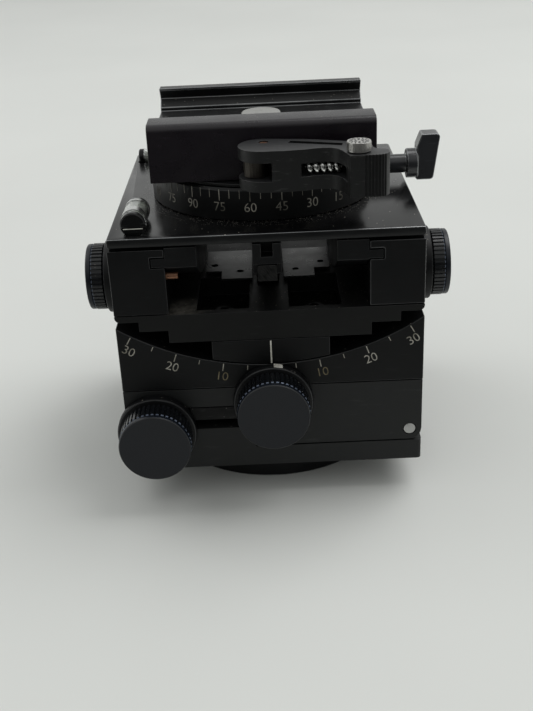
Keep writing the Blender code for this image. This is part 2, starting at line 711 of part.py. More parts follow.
def cradle_floor():
    """The stepped floor that joins the roll runners to the side blocks."""
    step_1_z = FLOOR_Z + STEP_1_H
    step_2_z = step_1_z + STEP_2_H
    step_1_x, step_2_x = HALF_W - STEP_1_INSET, HALF_W - STEP_2_INSET
    right = [(step_1_x, FLOOR_Z), (step_1_x, step_1_z), (step_2_x, step_1_z), (step_2_x, step_2_z)]
    right += arc((HALF_W - END_R, step_2_z + END_R), END_R, -pi / 2, 0, CORNER_STEPS)
    right += [(HALF_W, FLOOR_TOP_Z)]
    floor = prism("cradle_floor", mirrored(right), "Y", -HALF_D, HALF_D)
    shaft = (0, PITCH_SHAFT_Z)
    boss_out = HALF_W + SIDE_BOSS_L
    bar_low = FLOOR_Z - BAR_DROP
    parts = [box("bar", -HALF_W, HALF_W, -BAR_HALF, BAR_HALF, bar_low, FLOOR_TOP_Z - GAP)]
    for sign in (-1, 1):
        low, high = sorted((sign * (HALF_W - OVERRUN), sign * boss_out))
        parts.append(rod("boss", "X", shaft, BOSS_R, low, high))
    join(floor, *parts)
    pinion_r = MODULE * (PINION_TEETH / 2 + ADDENDUM_SHARE) + 2 * GAP
    pivot = (0, PITCH_Z)
    reach = boss_out + OVERRUN
    cut(
        floor,
        rod("shaft way", "X", shaft, PITCH_SHAFT_R + GAP, -reach, reach),
        rod("pinion way", "X", shaft, pinion_r, -RACK_TROUGH_HALF, RACK_TROUGH_HALF),
        rod("rack way", "X", pivot, RACK_TROUGH_R, -RACK_TROUGH_HALF, RACK_TROUGH_HALF, WAY_SIDES),
        rod("tab way", "X", pivot, TAB_TROUGH_R, -TAB_TROUGH_HALF, TAB_TROUGH_HALF, WAY_SIDES),
    )
    pocket_z = FLOOR_TOP_Z - POCKET_DEPTH
    pockets = []
    for sx in (-1, 1):
        x_low, x_high = sorted((sx * POCKET_IN, sx * POCKET_OUT))
        for sy in (-1, 1):
            y_low, y_high = sorted((sy * POCKET_NEAR, sy * POCKET_FAR))
            pockets.append(
                box("pocket", x_low, x_high, y_low, y_high, pocket_z, FLOOR_TOP_Z + OVERRUN)
            )
    return cut(floor, *pockets)


def side_blocks():
    """Left and right blocks whose concave tops and inner grooves guide the top plate."""
    half_angle = asin(HALF_D / SIDE_ARC_R)
    outline = [(HALF_D, SIDE_BLOCK_Z), (-HALF_D, SIDE_BLOCK_Z)]
    outline += low_arc((0, PITCH_Z), SIDE_ARC_R, half_angle, ARC_STEPS)
    reach = asin((HALF_D + OVERRUN) / PITCH_GROOVE_IN_R)
    blocks = []
    for name, sign in (("side_block_left", -1), ("side_block_right", 1)):
        low, high = sorted((sign * CAVITY_HALF, sign * HALF_W))
        block = prism(name, outline, "X", low, high)
        groove = low_arc((0, PITCH_Z), PITCH_GROOVE_OUT_R, reach, ARC_STEPS)
        groove += reversed(low_arc((0, PITCH_Z), PITCH_GROOVE_IN_R, reach, ARC_STEPS))
        ends = sorted((sign * (CAVITY_HALF - OVERRUN), sign * (CAVITY_HALF + PITCH_GROOVE_DEPTH)))
        blocks.append(cut(block, prism("groove", groove, "X", *ends)))
    return blocks


def pointers(black):
    """Index plates that hang from the cradle and ride above the walls' arcs."""
    radius = WALL_ARC_R - GAP
    outline = low_arc((0, ROLL_Z), radius, asin(POINTER_HALF / radius), ARC_STEPS // 2)
    outline += [(POINTER_HALF, RAIL_TOP_Z), (-POINTER_HALF, RAIL_TOP_Z)]
    for name, sign in (("front", -1), ("rear", 1)):
        low, high = sorted((sign * (HALF_D - POINTER_THICK), sign * (HALF_D - POINTER_TRIM)))
        finish(prism(f"pointer_plate_{name}", outline, "Y", low, high), black)


def gear_covers(dark):
    """Thin plates beside the pitch gear, with two small screw holes in each."""
    low = FLOOR_TOP_Z + GAP
    for name, sign in (("gear_cover_left", -1), ("gear_cover_right", 1)):
        outline = [
            (COVER_IN, COVER_FRONT_Y), (COVER_STEP_X, COVER_FRONT_Y), (COVER_STEP_X, COVER_STEP_Y),
            (COVER_OUT, COVER_STEP_Y), (COVER_OUT, COVER_BACK_Y), (COVER_IN, COVER_BACK_Y),
        ]
        outline = [(sign * x, y) for x, y in outline]
        plate = prism(name, outline, "Z", low, low + COVER_THICK)
        for x, y in COVER_HOLE_PLACES:
            way = (low - OVERRUN, low + COVER_THICK + OVERRUN)
            cut(plate, rod("hole", "Z", (sign * x, y), COVER_HOLE_R, *way, HOLE_SIDES))
        finish(plate, dark)


def cradle_pieces(black, dark, brass):
    roll_runners(black, brass)
    floor = cradle_floor()
    blocks = side_blocks()
    gear_covers(dark)
    pin_r = PITCH_GROOVE_OUT_R + STOP_PIN_R + GAP
    pin_z = PITCH_Z - sqrt(pin_r ** 2 - STOP_PIN_Y ** 2)
    pin_place = (STOP_PIN_Y, pin_z)
    tip, root = -CAVITY_HALF + STOP_PIN_REACH, -CAVITY_HALF - STOP_PIN_DEPTH
    cut(blocks[0], rod("pin way", "X", pin_place, STOP_PIN_R + GAP, root - GAP, tip + OVERRUN, HOLE_SIDES))
    finish(rod("travel_stop_pin", "X", pin_place, STOP_PIN_R, root, tip, HOLE_SIDES), brass)
    finish(floor, black)
    for block in blocks:
        finish(block, black)
    pointers(black)


def pitch_drive(black, steel, brass, knob_grey):
    """The pitch shaft with a knob at each side, one pinion and two friction rings."""
    shaft = (0, PITCH_SHAFT_Z)
    face = SIDE_RING_OUT + GAP + SIDE_KNOB_L
    end = face - KNOB_CAP - GAP
    finish(rod("pitch_shaft", "X", shaft, PITCH_SHAFT_R, -end, end), steel)
    for name, sign in (("left", -1), ("right", 1)):
        ring = friction_ring(
            f"pitch_ring_{name}", "X", shaft, sign * SIDE_RING_IN, sign * SIDE_RING_OUT, PITCH_SHAFT_R
        )
        finish(ring, black)
        inner = sign * (SIDE_RING_OUT + GAP)
        finish(knob(f"pitch_knob_{name}", "X", shaft, inner, sign * face, PITCH_SHAFT_R), knob_grey)
    half = PITCH_GEAR_W / 2
    gear = prism("pitch_pinion", gear_outline(shaft, PINION_TEETH, pi / 2), "X", -half, half)
    cut(gear, rod("bore", "X", shaft, PITCH_SHAFT_R + GAP, -half - OVERRUN, half + OVERRUN))
    finish(gear, brass)


def top_runners():
    """Tongued side rails that ride over the side blocks, and the toothed pitch sector."""
    centre = (0, PITCH_Z)
    end = HALF_D - RAIL_END_TRIM
    rail_r = PITCH_GROOVE_OUT_R - TRIM
    run = low_arc(centre, rail_r, asin(end / rail_r), ARC_STEPS)
    outline = run + [(end, TOP_RAIL_TOP_Z), (-end, TOP_RAIL_TOP_Z)]
    outer = CAVITY_HALF - GAP + TRIM
    tongue_out = CAVITY_HALF + PITCH_GROOVE_DEPTH - GAP
    outer_r = PITCH_GROOVE_OUT_R - TONGUE_CLEARANCE
    inner_r = PITCH_GROOVE_IN_R + TONGUE_CLEARANCE
    tongue = low_arc(centre, outer_r, asin(end / outer_r), ARC_STEPS)
    tongue += low_arc(centre, inner_r, asin(end / inner_r), ARC_STEPS)[::-1]
    skirt_r = SIDE_ARC_R - GAP
    skirt_end = end - SKIRT_TRIM
    skirt = low_arc(centre, skirt_r, asin(skirt_end / skirt_r), ARC_STEPS)
    skirt += [(skirt_end, TOP_RAIL_TOP_Z), (-skirt_end, TOP_RAIL_TOP_Z)]
    rails = []
    for name, sign in (("top_rail_left", -1), ("top_rail_right", 1)):
        low, high = sorted((sign * (outer - TOP_RAIL_W), sign * outer))
        rail = prism(name, outline, "X", low, high)
        low, high = sorted((sign * (outer - GAP), sign * tongue_out))
        join(rail, prism("tongue", tongue, "X", low, high))
        low, high = sorted((sign * (outer - GAP), sign * (HALF_W - TRIM)))
        rails.append(join(rail, prism("skirt", skirt, "X", low, high)))
    end_z = TOP_RAIL_TOP_Z - RACK_END_DROP
    tooth_r = MODULE * PITCH_TEETH / 2
    teeth = rack_teeth(centre, PITCH_TEETH, asin((end - RACK_END_L) / tooth_r))
    outline = [(-end, TOP_RAIL_TOP_Z), (-end, end_z), (teeth[0][0] - GAP, end_z)] + teeth
    outline += [(teeth[-1][0] + GAP, end_z), (end, end_z), (end, TOP_RAIL_TOP_Z)]
    rack = prism("pitch_rack", outline, "X", -RACK_W / 2, RACK_W / 2)
    slot_z = TOP_RAIL_TOP_Z - RACK_SLOT_H
    slot_y = -end + RACK_END_L
    slot = box("slot", -RACK_SLOT_HALF, RACK_SLOT_HALF, -HALF_D - OVERRUN, slot_y, slot_z, TOP_Z)
    cut(rack, slot)
    tab_top = end_z - GAP
    tab = box("stop_tab", -TAB_HALF, TAB_HALF, -end, -end + TAB_THICK, tab_top - TAB_L, tab_top)
    return rails, rack, tab


def vial(name, axis, centre, radius, wall, start, plate, clear, dark):
    """A clear closed tube with one dark cap, laid in a groove of the plate."""
    end = start + VIAL_L
    cap_end = start + VIAL_CAP_L
    cut(plate, rod("groove", axis, centre, radius + GAP, start - GAP, end + GAP))
    finish(rod(f"{name}_cap", axis, centre, radius, start, cap_end), dark)
    tube = rod(f"{name}_tube", axis, centre, radius, cap_end + GAP, end)
    finish(cut(tube, rod("bore", axis, centre, radius - wall, cap_end, end - wall)), clear)


def vials(plate, clear, dark):
    centre = (-DRUM_R - VIAL_OFFSET, TOP_FACE_Z + VIAL_RISE)
    start = -HALF_D + VIAL_FRONT_INSET
    vial("vial", "Y", centre, VIAL_R, VIAL_WALL, start, plate, clear, dark)
    centre = (DRUM_R + CROSS_VIAL_OFFSET, TOP_FACE_Z + CROSS_VIAL_RISE)
    start = -HALF_W + CROSS_VIAL_END_INSET
    vial("cross_vial", "X", centre, CROSS_VIAL_R, CROSS_VIAL_WALL, start, plate, clear, dark)


def top_pieces(black, dark, steel, brass, clear):
    rails, rack, tab = top_runners()
    plan = rectangle(-HALF_W, HALF_W, -HALF_D, HALF_D)
    plate = prism("top_plate", plan, "Z", TOP_Z, TOP_FACE_Z)
    soften(plate, TOP_EDGE_R, 2)
    combine(plate, (), "UNION")
    drum_profile = [
        (DRUM_BORE_R, DRUM_Z),
        (DRUM_R, DRUM_Z),
        (DRUM_R, DRUM_TOP_Z - DRUM_CHAMFER),
        (DRUM_R - DRUM_CHAMFER, DRUM_TOP_Z),
        (DRUM_LIP_R, DRUM_TOP_Z),
        (DRUM_LIP_R, DRUM_TOP_Z - DRUM_LIP_H),
        (DRUM_BORE_R, DRUM_TOP_Z - DRUM_LIP_H),
    ]
    drum = turned("pan_drum", drum_profile, "Z", (0, 0))
    lock = (0, PAN_LOCK_Z)
    cut(drum, rod("lock way", "X", lock, PAN_LOCK_R + GAP, 0, DRUM_R + OVERRUN))
    vials(plate, clear, dark)
    for piece, surface in (
        (plate, black), (drum, black), (rails[0], black), (rails[1], black), (rack, black), (tab, steel)
    ):
        finish(piece, surface)


def pan_rotor(black):
    bore = CENTRE_SCREW_R + GAP
    flange = DRUM_BORE_R - FLANGE_LIFT - TRIM
    flange_top = DRUM_TOP_Z - DRUM_LIP_H - GAP
    hub = DRUM_LIP_R - GAP - TRIM
    profile = [
        (bore, DRUM_Z + FLANGE_LIFT),
        (flange, DRUM_Z + FLANGE_LIFT),
        (flange, flange_top),
        (hub, flange_top),
        (hub, INDEX_Z),
        (INDEX_DISC_R, INDEX_Z),
        (INDEX_DISC_R, INDEX_Z + INDEX_DISC_H),
        (bore, INDEX_Z + INDEX_DISC_H),
    ]
    return finish(turned("pan_rotor", profile, "Z", (0, 0)), black)


def pan_lock(black):
    """A thumb screw with a one-sided wing that presses on the rotor's flange."""
    lock = (0, PAN_LOCK_Z)
    neck_x = DRUM_R + 2 * GAP
    barrel_end = PAN_LOCK_BARREL_X + PAN_LOCK_BARREL_L
    thumb = rod("pan_lock_screw", "X", lock, PAN_LOCK_R, DRUM_BORE_R, PAN_LOCK_BARREL_X)
    neck = rod("neck", "X", lock, PAN_LOCK_NECK_R, neck_x, PAN_LOCK_BARREL_X + GAP)
    barrel = rod("barrel", "X", lock, PAN_LOCK_BARREL_R, PAN_LOCK_BARREL_X, barrel_end)
    wing_end = barrel_end + WING_L
    low, high = PAN_LOCK_Z - WING_DOWN, PAN_LOCK_Z + WING_UP
    outline = [(barrel_end - GAP, low)]
    outline += arc((wing_end - WING_TAPER - WING_R, low + WING_R), WING_R, -pi / 2, 0, CORNER_STEPS)
    outline += arc((wing_end - WING_R, high - WING_R), WING_R, 0, pi / 2, CORNER_STEPS)
    outline += [(barrel_end + WING_R, high), (barrel_end - GAP, PAN_LOCK_Z + 2 * PAN_LOCK_NECK_R)]
    wing = prism("wing", outline, "Y", -WING_THICK / 2, WING_THICK / 2)
    return finish(join(thumb, neck, barrel, wing), black)


def centre_screw(base):
    """The screw in the clamp's floor that holds the clamp on the rotor."""
    head_z = CLAMP_FLOOR_Z + CENTRE_SCREW_RISE
    neck_z = head_z - CENTRE_SCREW_HEAD_H
    end_z = head_z - CENTRE_SCREW_L
    cut(
        base,
        rod("mouth", "Z", (0, 0), CENTRE_SCREW_HEAD_R + GAP, neck_z - GAP, CLAMP_FLOOR_Z + OVERRUN),
        rod("way", "Z", (0, 0), CENTRE_SCREW_R + GAP, CLAMP_Z - OVERRUN, head_z),
    )
    head = rod("clamp_centre_screw", "Z", (0, 0), CENTRE_SCREW_HEAD_R, neck_z, head_z)
    return join(head, rod("shank", "Z", (0, 0), CENTRE_SCREW_R, end_z, head_z - GAP))


def clamp_pieces(black, steel, purple):
    """The clamp's base with its fixed rear jaw, and the sliding front jaw."""
    half = CLAMP_L / 2
    seat_front = -CLAMP_SEAT_HALF + GAP
    v_low = CLAMP_FLOOR_Z + LOWER_WALL_H
    v_mid = CLAMP_TOP_Z - V_DROP
    lip_z = CLAMP_TOP_Z - LIP_H
    outline = [
        (seat_front, CLAMP_Z),
        (CLAMP_BACK_Y - CLAMP_CHAMFER, CLAMP_Z),
        (CLAMP_BACK_Y, CLAMP_Z + CLAMP_CHAMFER),
        (CLAMP_BACK_Y, lip_z),
        (CLAMP_BACK_Y - LIP_H, CLAMP_TOP_Z),
        (BACK_LIP_Y, CLAMP_TOP_Z),
        (BACK_LIP_Y, lip_z),
        (V_HALF, v_mid),
        (CLAMP_SEAT_HALF, v_low),
        (CLAMP_SEAT_HALF, CLAMP_FLOOR_Z),
        (seat_front, CLAMP_FLOOR_Z),
    ]
    base = prism("clamp_base", outline, "X", -half, half)
    jaw_top = CLAMP_TOP_Z - FRONT_JAW_DROP
    outline = [
        (JAW_FACE_Y, CLAMP_Z),
        (-CLAMP_SEAT_HALF, CLAMP_Z),
        (-CLAMP_SEAT_HALF, v_low),
        (-V_HALF, v_mid),
        (FRONT_LIP_Y, jaw_top - LIP_H),
        (FRONT_LIP_Y, jaw_top),
    ]
    edge = (JAW_FACE_Y + JAW_EDGE_R, jaw_top - JAW_EDGE_R)
    outline += arc(edge, JAW_EDGE_R, pi / 2, pi, CORNER_STEPS)
    jaw = prism("front_jaw", outline, "X", -half, half)
    centre = centre_screw(base)
    guide_z = CLAMP_Z + GUIDE_RISE
    for name, x in (("guide_pin_left", -GUIDE_X), ("guide_pin_right", GUIDE_X)):
        way_low = -CLAMP_SEAT_HALF - GUIDE_IN_JAW - GAP
        way_high = seat_front + GUIDE_IN_BASE + GAP
        for part in (base, jaw):
            cut(part, rod("guide way", "Y", (x, guide_z), GUIDE_R + GAP, way_low, way_high, HOLE_SIDES))
        finish(rod(name, "Y", (x, guide_z), GUIDE_R, way_low + GAP, way_high - GAP, HOLE_SIDES), steel)
    pin_x = CAM_X - CAM_OFFSET_X
    pin_y = lever_pin_y()
    tie = (pin_x, CLAMP_Z + TIE_RISE)
    tie_end = seat_front + TIE_IN_BASE
    way_low = JAW_FACE_Y - OVERRUN
    for part in (base, jaw):
        cut(part, rod("tie way", "Y", tie, TIE_R + GAP, way_low, tie_end + GAP, HOLE_SIDES))
    bolt = rod("tie_bolt", "Y", tie, TIE_R, pin_y, tie_end, HOLE_SIDES)
    eye_low = tie[1] - TIE_EYE_H / 2
    eye = rod("eye", "Z", (pin_x, pin_y), TIE_EYE_R, eye_low, eye_low + TIE_EYE_H)
    join(bolt, eye)
    pin_way = rod("pin way", "Z", (pin_x, pin_y), LEVER_PIN_R + GAP,
                  eye_low - OVERRUN, eye_low + TIE_EYE_H + OVERRUN, HOLE_SIDES)
    cut(bolt, pin_way)
    for piece, surface in ((base, black), (jaw, purple), (centre, steel), (bolt, steel)):
        finish(piece, surface)


def lever_pin_y():
    """The lever's pivot lies so far ahead of the jaw that its cam just clears it."""
    return JAW_FACE_Y - GAP - CAM_R - CAM_OFFSET_Y


def ahead(points):
    """Points in plan from their places along the jaw and their distances ahead of its face."""
    return [(x, JAW_FACE_Y - distance) for x, distance in points]


def grip_edge(run, inward, front_y):
    """A point on the grip's front and its rounded end, a run along from its first rib."""
    flat = GRIP_END_X - GRIP_R - GRIP_RIB_X
    if run < flat:
        return GRIP_RIB_X + run, front_y + inward
    angle = (run - flat) / GRIP_R
    reach = GRIP_R - inward
    return GRIP_END_X - GRIP_R + reach * sin(angle), front_y + GRIP_R - reach * cos(angle)


def grip_front(front_y):
    """The serrated front of the grip and its plain rounded end."""
    points = []
    for i in range(GRIP_RIBS):
        for across_share, depth_share in GRIP_RIB_SHARES:
            run = (i + across_share) * GRIP_RIB_PITCH
            points.append(grip_edge(run, depth_share * GRIP_RIB_DEPTH, front_y))
    ribs_end = GRIP_RIBS * GRIP_RIB_PITCH
    end = GRIP_END_X - GRIP_R - GRIP_RIB_X + pi * GRIP_R
    for i in range(CORNER_STEPS + 1):
        points.append(grip_edge(ribs_end + (end - ribs_end) * i / CORNER_STEPS, 0, front_y))
    return points


def clamp_lever(black, steel, brass):
    """The cam lever, forked round the tie bolt's eye, with a serrated grip."""
    pin = (CAM_X - CAM_OFFSET_X, lever_pin_y())
    cam = (CAM_X, pin[1] + CAM_OFFSET_Y)
    low = CLAMP_Z + LEVER_LIFT
    high = low + LEVER_H
    front = ahead(LEVER_FRONT)
    front_y = front[-1][1]
    outline = arc(cam, CAM_R, pi / 2, 3 * pi / 2, ROD_SIDES // 2) + front
    outline += grip_front(front_y) + ahead(LEVER_BACK)
    lever = prism("clamp_lever", outline, "Z", low, high)
    slot_mid = CLAMP_Z + TIE_RISE
    fork_low, fork_high = slot_mid - FORK_H / 2, slot_mid + FORK_H / 2
    reach = CAM_R + OVERRUN
    slider_low = low + SLIDER_RISE - GAP
    slider_high = slider_low + SLIDER_H + 2 * GAP
    nest_low = SAFETY_X - SLIDER_L / 2 - SAFETY_TRAVEL - GAP
    nest_high = SAFETY_X + SLIDER_L / 2 + GAP
    slider_y = spring_y()
    post_half = SAFETY_POST_R + GAP
    arm_half = SLIDER_ARM_HALF + GAP
    button_y = JAW_FACE_Y - SAFETY_AHEAD
    spring_z = low + SLIDER_RISE + SLIDER_H / 2
    anchor = (ANCHOR_PIN_X, JAW_FACE_Y - ANCHOR_AHEAD)
    cut(
        lever,
        box("fork", pin[0] - reach, FORK_END_X, cam[1] - reach, cam[1] + reach, fork_low, fork_high),
        rod("pin way", "Z", pin, LEVER_PIN_R + GAP, low - OVERRUN, high - LEVER_PIN_COVER, HOLE_SIDES),
        prism("slit", ahead(LEVER_SLIT), "Z", high - SLIT_DEPTH, high + OVERRUN),
        box("slider nest", nest_low, nest_high, slider_y - SLIDER_HALF_W - GAP,
            slider_y + SLIDER_HALF_W + GAP, slider_low, slider_high),
        box("arm nest", SAFETY_X - SAFETY_TRAVEL - arm_half, SAFETY_X + arm_half,
            button_y - arm_half, slider_y, slider_low, slider_high),
        box("post way", SAFETY_X - SAFETY_TRAVEL - post_half, SAFETY_X + post_half,
            button_y - post_half, button_y + post_half, slider_low + GAP, high + OVERRUN),
        box("spring slot", SPRING_SLOT_X, nest_low + GAP, front_y, slider_y + SPRING_R + GAP,
            spring_z - SPRING_R - GAP, spring_z + SPRING_R + GAP),
        rod("anchor way", "Z", anchor, ANCHOR_PIN_R + GAP,
            high - ANCHOR_PIN_L - GAP, high + OVERRUN, HOLE_SIDES),
    )
    finish(lever, black)
    pin_top = high - LEVER_PIN_COVER - GAP
    finish(rod("lever_pin", "Z", pin, LEVER_PIN_R, low + GAP, pin_top, HOLE_SIDES), steel)
    anchor_ends = (high - ANCHOR_PIN_L, high - GAP)
    finish(rod("safety_anchor_pin", "Z", anchor, ANCHOR_PIN_R, *anchor_ends, HOLE_SIDES), brass)
    return high, slider_low + GAP, spring_z


def spring_y():
    """The safety spring lies just behind the lever's front face."""
    return JAW_FACE_Y - SPRING_AHEAD


def least_gap(path):
    """The smallest space between the spring's turns, measured on its points."""
    apart = SPRING_STEPS // 2
    distances = [dist(path[i], point) for i in range(len(path)) for point in path[i + apart:]]
    return min(distances) - 2 * SPRING_WIRE_R


def safety_catch(lever_top, slider_z, spring_z, steel):
    """A knurled button on a sprung slider inside the grip."""
    y = spring_y()
    x_low, x_high = SAFETY_X - SLIDER_L / 2, SAFETY_X + SLIDER_L / 2
    top = slider_z + SLIDER_H
    slider = box("safety_button", x_low, x_high, y - SLIDER_HALF_W, y + SLIDER_HALF_W, slider_z, top)
    button_z = lever_top + GAP
    place = (SAFETY_X, JAW_FACE_Y - SAFETY_AHEAD)
    arm = box("arm", SAFETY_X - SLIDER_ARM_HALF, SAFETY_X + SLIDER_ARM_HALF,
              place[1] - SLIDER_ARM_HALF, y, slider_z, top)
    post = rod("post", "Z", place, SAFETY_POST_R, slider_z + GAP, button_z + GAP, HOLE_SIDES)
    cap = rod("cap", "Z", place, SAFETY_R, button_z, button_z + SAFETY_H)
    finish(join(slider, arm, post, cap), steel)
    coil = bpy.data.curves.new("safety_spring", "CURVE")
    coil.dimensions = "3D"
    coil.bevel_depth = SPRING_WIRE_R
    coil.bevel_resolution = 1
    coil.use_fill_caps = True
    spline = coil.splines.new("POLY")
    steps = SPRING_TURNS * SPRING_STEPS
    spline.points.add(steps)
    radius = SPRING_R - SPRING_WIRE_R
    path = []
    for i in range(steps + 1):
        angle = 2 * pi * i / SPRING_STEPS
        x = SPRING_START_X + SPRING_WIRE_R + (SPRING_L - 2 * SPRING_WIRE_R) * i / steps
        path.append((x, y + radius * cos(angle), spring_z + radius * sin(angle)))
        spline.points[i].co = (*path[-1], 1)
    print(f"safety spring, least gap to itself: {least_gap(path) / MM:.2f} mm")
    spring = bpy.data.objects.new("safety_spring", coil)
    coil.materials.append(steel)
    bpy.context.scene.collection.objects.link(spring)


def build():
    clear_scene()
    black = material("black anodised", (0.012, 0.012, 0.013), 0.35, 0.6)
    dark = material("dark plastic", (0.02, 0.02, 0.02), 0.5, 0)
    steel = material("bright steel", (0.55, 0.55, 0.55), 0.28, 1)
    brass = material("brass", (0.6, 0.42, 0.16), 0.35, 1)
    knob_grey = material("knob grey", (0.03, 0.033, 0.04), 0.45, 0.5)
    purple = material("purple black", (0.022, 0.014, 0.022), 0.35, 0.6)
    clear = material("clear vial", (0.75, 0.8, 0.6), 0.1, 0)
    base_pieces(black, steel)
    flip_lock_pieces(black, steel, knob_grey)
    body_block(black, dark)
    arc_walls(black)
    roll_drive(black, steel, brass, knob_grey)
    cradle_pieces(black, dark, brass)
    pitch_drive(black, steel, brass, knob_grey)
    top_pieces(black, dark, steel, brass, clear)
    pan_rotor(black)
    pan_lock(black)
    clamp_pieces(black, steel, purple)
    lever_top, slider_z, spring_z = clamp_lever(dark, steel, brass)
    safety_catch(lever_top, slider_z, spring_z, steel)


build()
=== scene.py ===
"""Finishes, edges, scales, knobs and screws of the geared tripod head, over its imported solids."""
from math import cos, pi, radians, sin

import bmesh
import bpy
from mathutils import Matrix, Vector


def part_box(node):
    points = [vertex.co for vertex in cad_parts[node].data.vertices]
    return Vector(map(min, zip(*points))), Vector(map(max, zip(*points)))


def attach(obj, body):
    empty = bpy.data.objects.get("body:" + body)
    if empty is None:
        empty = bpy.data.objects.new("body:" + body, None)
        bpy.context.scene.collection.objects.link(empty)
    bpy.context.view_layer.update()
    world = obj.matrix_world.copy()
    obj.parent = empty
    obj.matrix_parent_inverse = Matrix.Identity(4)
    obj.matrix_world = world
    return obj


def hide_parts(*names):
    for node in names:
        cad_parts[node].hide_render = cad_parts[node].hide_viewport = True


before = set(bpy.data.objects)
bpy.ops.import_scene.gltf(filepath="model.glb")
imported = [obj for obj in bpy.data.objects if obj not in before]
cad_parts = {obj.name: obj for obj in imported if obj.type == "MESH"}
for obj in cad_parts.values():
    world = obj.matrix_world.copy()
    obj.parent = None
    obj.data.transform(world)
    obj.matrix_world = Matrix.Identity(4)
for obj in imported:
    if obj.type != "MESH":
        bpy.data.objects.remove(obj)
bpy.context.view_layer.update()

MM = 0.001
LIFT = 0.04 * MM
PAINT = 0.03 * MM

HALF = 42.5 * MM
ROLL_CENTRE_Z = 119.2 * MM
ROLL_SHAFT_Z = 31.2 * MM
PITCH_SHAFT_Z = 54.2 * MM
ARC_R = 77 * MM
DRUM_R = 33 * MM
FLIP_LOCK = (-33.6 * MM, 0, 22.8 * MM)

# Where rings and knobs start and end along their shafts
RING = (42.8 * MM, 45.5 * MM)
KNOB = (45.8 * MM, 53.5 * MM)
SIDE_RING = (47.05 * MM, 49.75 * MM)
SIDE_KNOB = (50.05 * MM, 55.35 * MM)
RING_R = 11.3 * MM
KNOB_RIBS = 46


# Nodes of the finishes

DUST = (0.32, 0.3, 0.26)


def new_finish(name):
    """A bare material with its shader."""
    finish = bpy.data.materials.new(name)
    finish.use_nodes = True
    tree = finish.node_tree
    tree.nodes.clear()
    out = tree.nodes.new("ShaderNodeOutputMaterial")
    shader = tree.nodes.new("ShaderNodeBsdfPrincipled")
    tree.links.new(shader.outputs[0], out.inputs[0])
    return finish, tree, shader


def add(tree, kind, inputs=None, **settings):
    """One shader node, with its settings and its inputs joined or set."""
    node = tree.nodes.new("ShaderNode" + kind)
    for key, value in settings.items():
        setattr(node, key, value)
    for key, value in (inputs or {}).items():
        if isinstance(value, bpy.types.NodeSocket):
            tree.links.new(value, node.inputs[key])
        else:
            node.inputs[key].default_value = value
    return node


def millimetres(tree, stretch=(1, 1, 1), turn=None):
    """The object's own coordinates in millimetres, turned and stretched for a brushed grain."""
    place = add(tree, "TexCoord").outputs["Object"]
    if turn:
        place = add(tree, "Mapping", {"Vector": place, "Rotation": turn}).outputs[0]
    scale = tuple(1000 * s for s in stretch)
    return add(tree, "Mapping", {"Vector": place, "Scale": scale}).outputs[0]


def rising(tree, value, start, end):
    """0 where the value is at the start, 1 at the end, and held outside them."""
    return add(tree, "MapRange", {"Value": value, "From Min": start, "From Max": end}, clamp=True).outputs[0]


def cloud(tree, place, size, low, high, detail=2.0):
    """Soft noise of a size in millimetres, spread from 0 at low to 1 at high."""
    noise = add(tree, "TexNoise", {"Vector": place, "Scale": 1 / size, "Detail": detail})
    return rising(tree, noise.outputs["Fac"], low, high)


def between(tree, factor, low, high):
    """A number from low to high as the factor goes from 0 to 1."""
    spread = {"Value": factor, "To Min": low, "To Max": high}
    return add(tree, "MapRange", spread, clamp=True).outputs[0]


def times(tree, a, b):
    return add(tree, "Math", {0: a, 1: b}, operation="MULTIPLY").outputs[0]


def most(tree, a, b):
    return add(tree, "Math", {0: a, 1: b}, operation="MAXIMUM").outputs[0]


def tinted(tree, factor, dark, light):
    """A colour from dark to light as the factor goes from 0 to 1."""
    mix = add(tree, "Mix", {0: factor}, data_type="RGBA")
    for index, colour in ((6, dark), (7, light)):
        if isinstance(colour, bpy.types.NodeSocket):
            tree.links.new(colour, mix.inputs[index])
        else:
            mix.inputs[index].default_value = (*colour, 1)
    return mix.outputs[2]


def facing_up(tree):
    """1 on level faces, 0 on upright ones."""
    normal = add(tree, "NewGeometry").outputs["Normal"]
    return rising(tree, add(tree, "SeparateXYZ", {0: normal}).outputs["Z"], 0.3, 0.95)


def specks(tree, place, size, share, reach=0.22):
    """Small specks of dust: 1 inside a speck, whose reach is a share of its cell."""
    cells = add(tree, "TexVoronoi", {"Vector": place, "Scale": 1 / size})
    chosen = add(tree, "SeparateXYZ", {0: cells.outputs["Color"]}).outputs["X"]
    kept = add(tree, "Math", {0: chosen, 1: share}, operation="LESS_THAN").outputs[0]
    return times(tree, rising(tree, cells.outputs["Distance"], reach, 0.5 * reach), kept)


def ring_mask(tree, inner, outer, centre=(0, 0)):
    """1 within an inner radius about a centre, fading out to an outer one, in millimetres."""
    place = add(tree, "TexCoord").outputs["Object"]
    flat = {"Vector": place, "Scale": (1000, 1000, 0), "Location": (-centre[0], -centre[1], 0)}
    level = add(tree, "Mapping", flat).outputs[0]
    far = add(tree, "VectorMath", {0: level}, operation="LENGTH").outputs["Value"]
    return rising(tree, far, outer, inner)


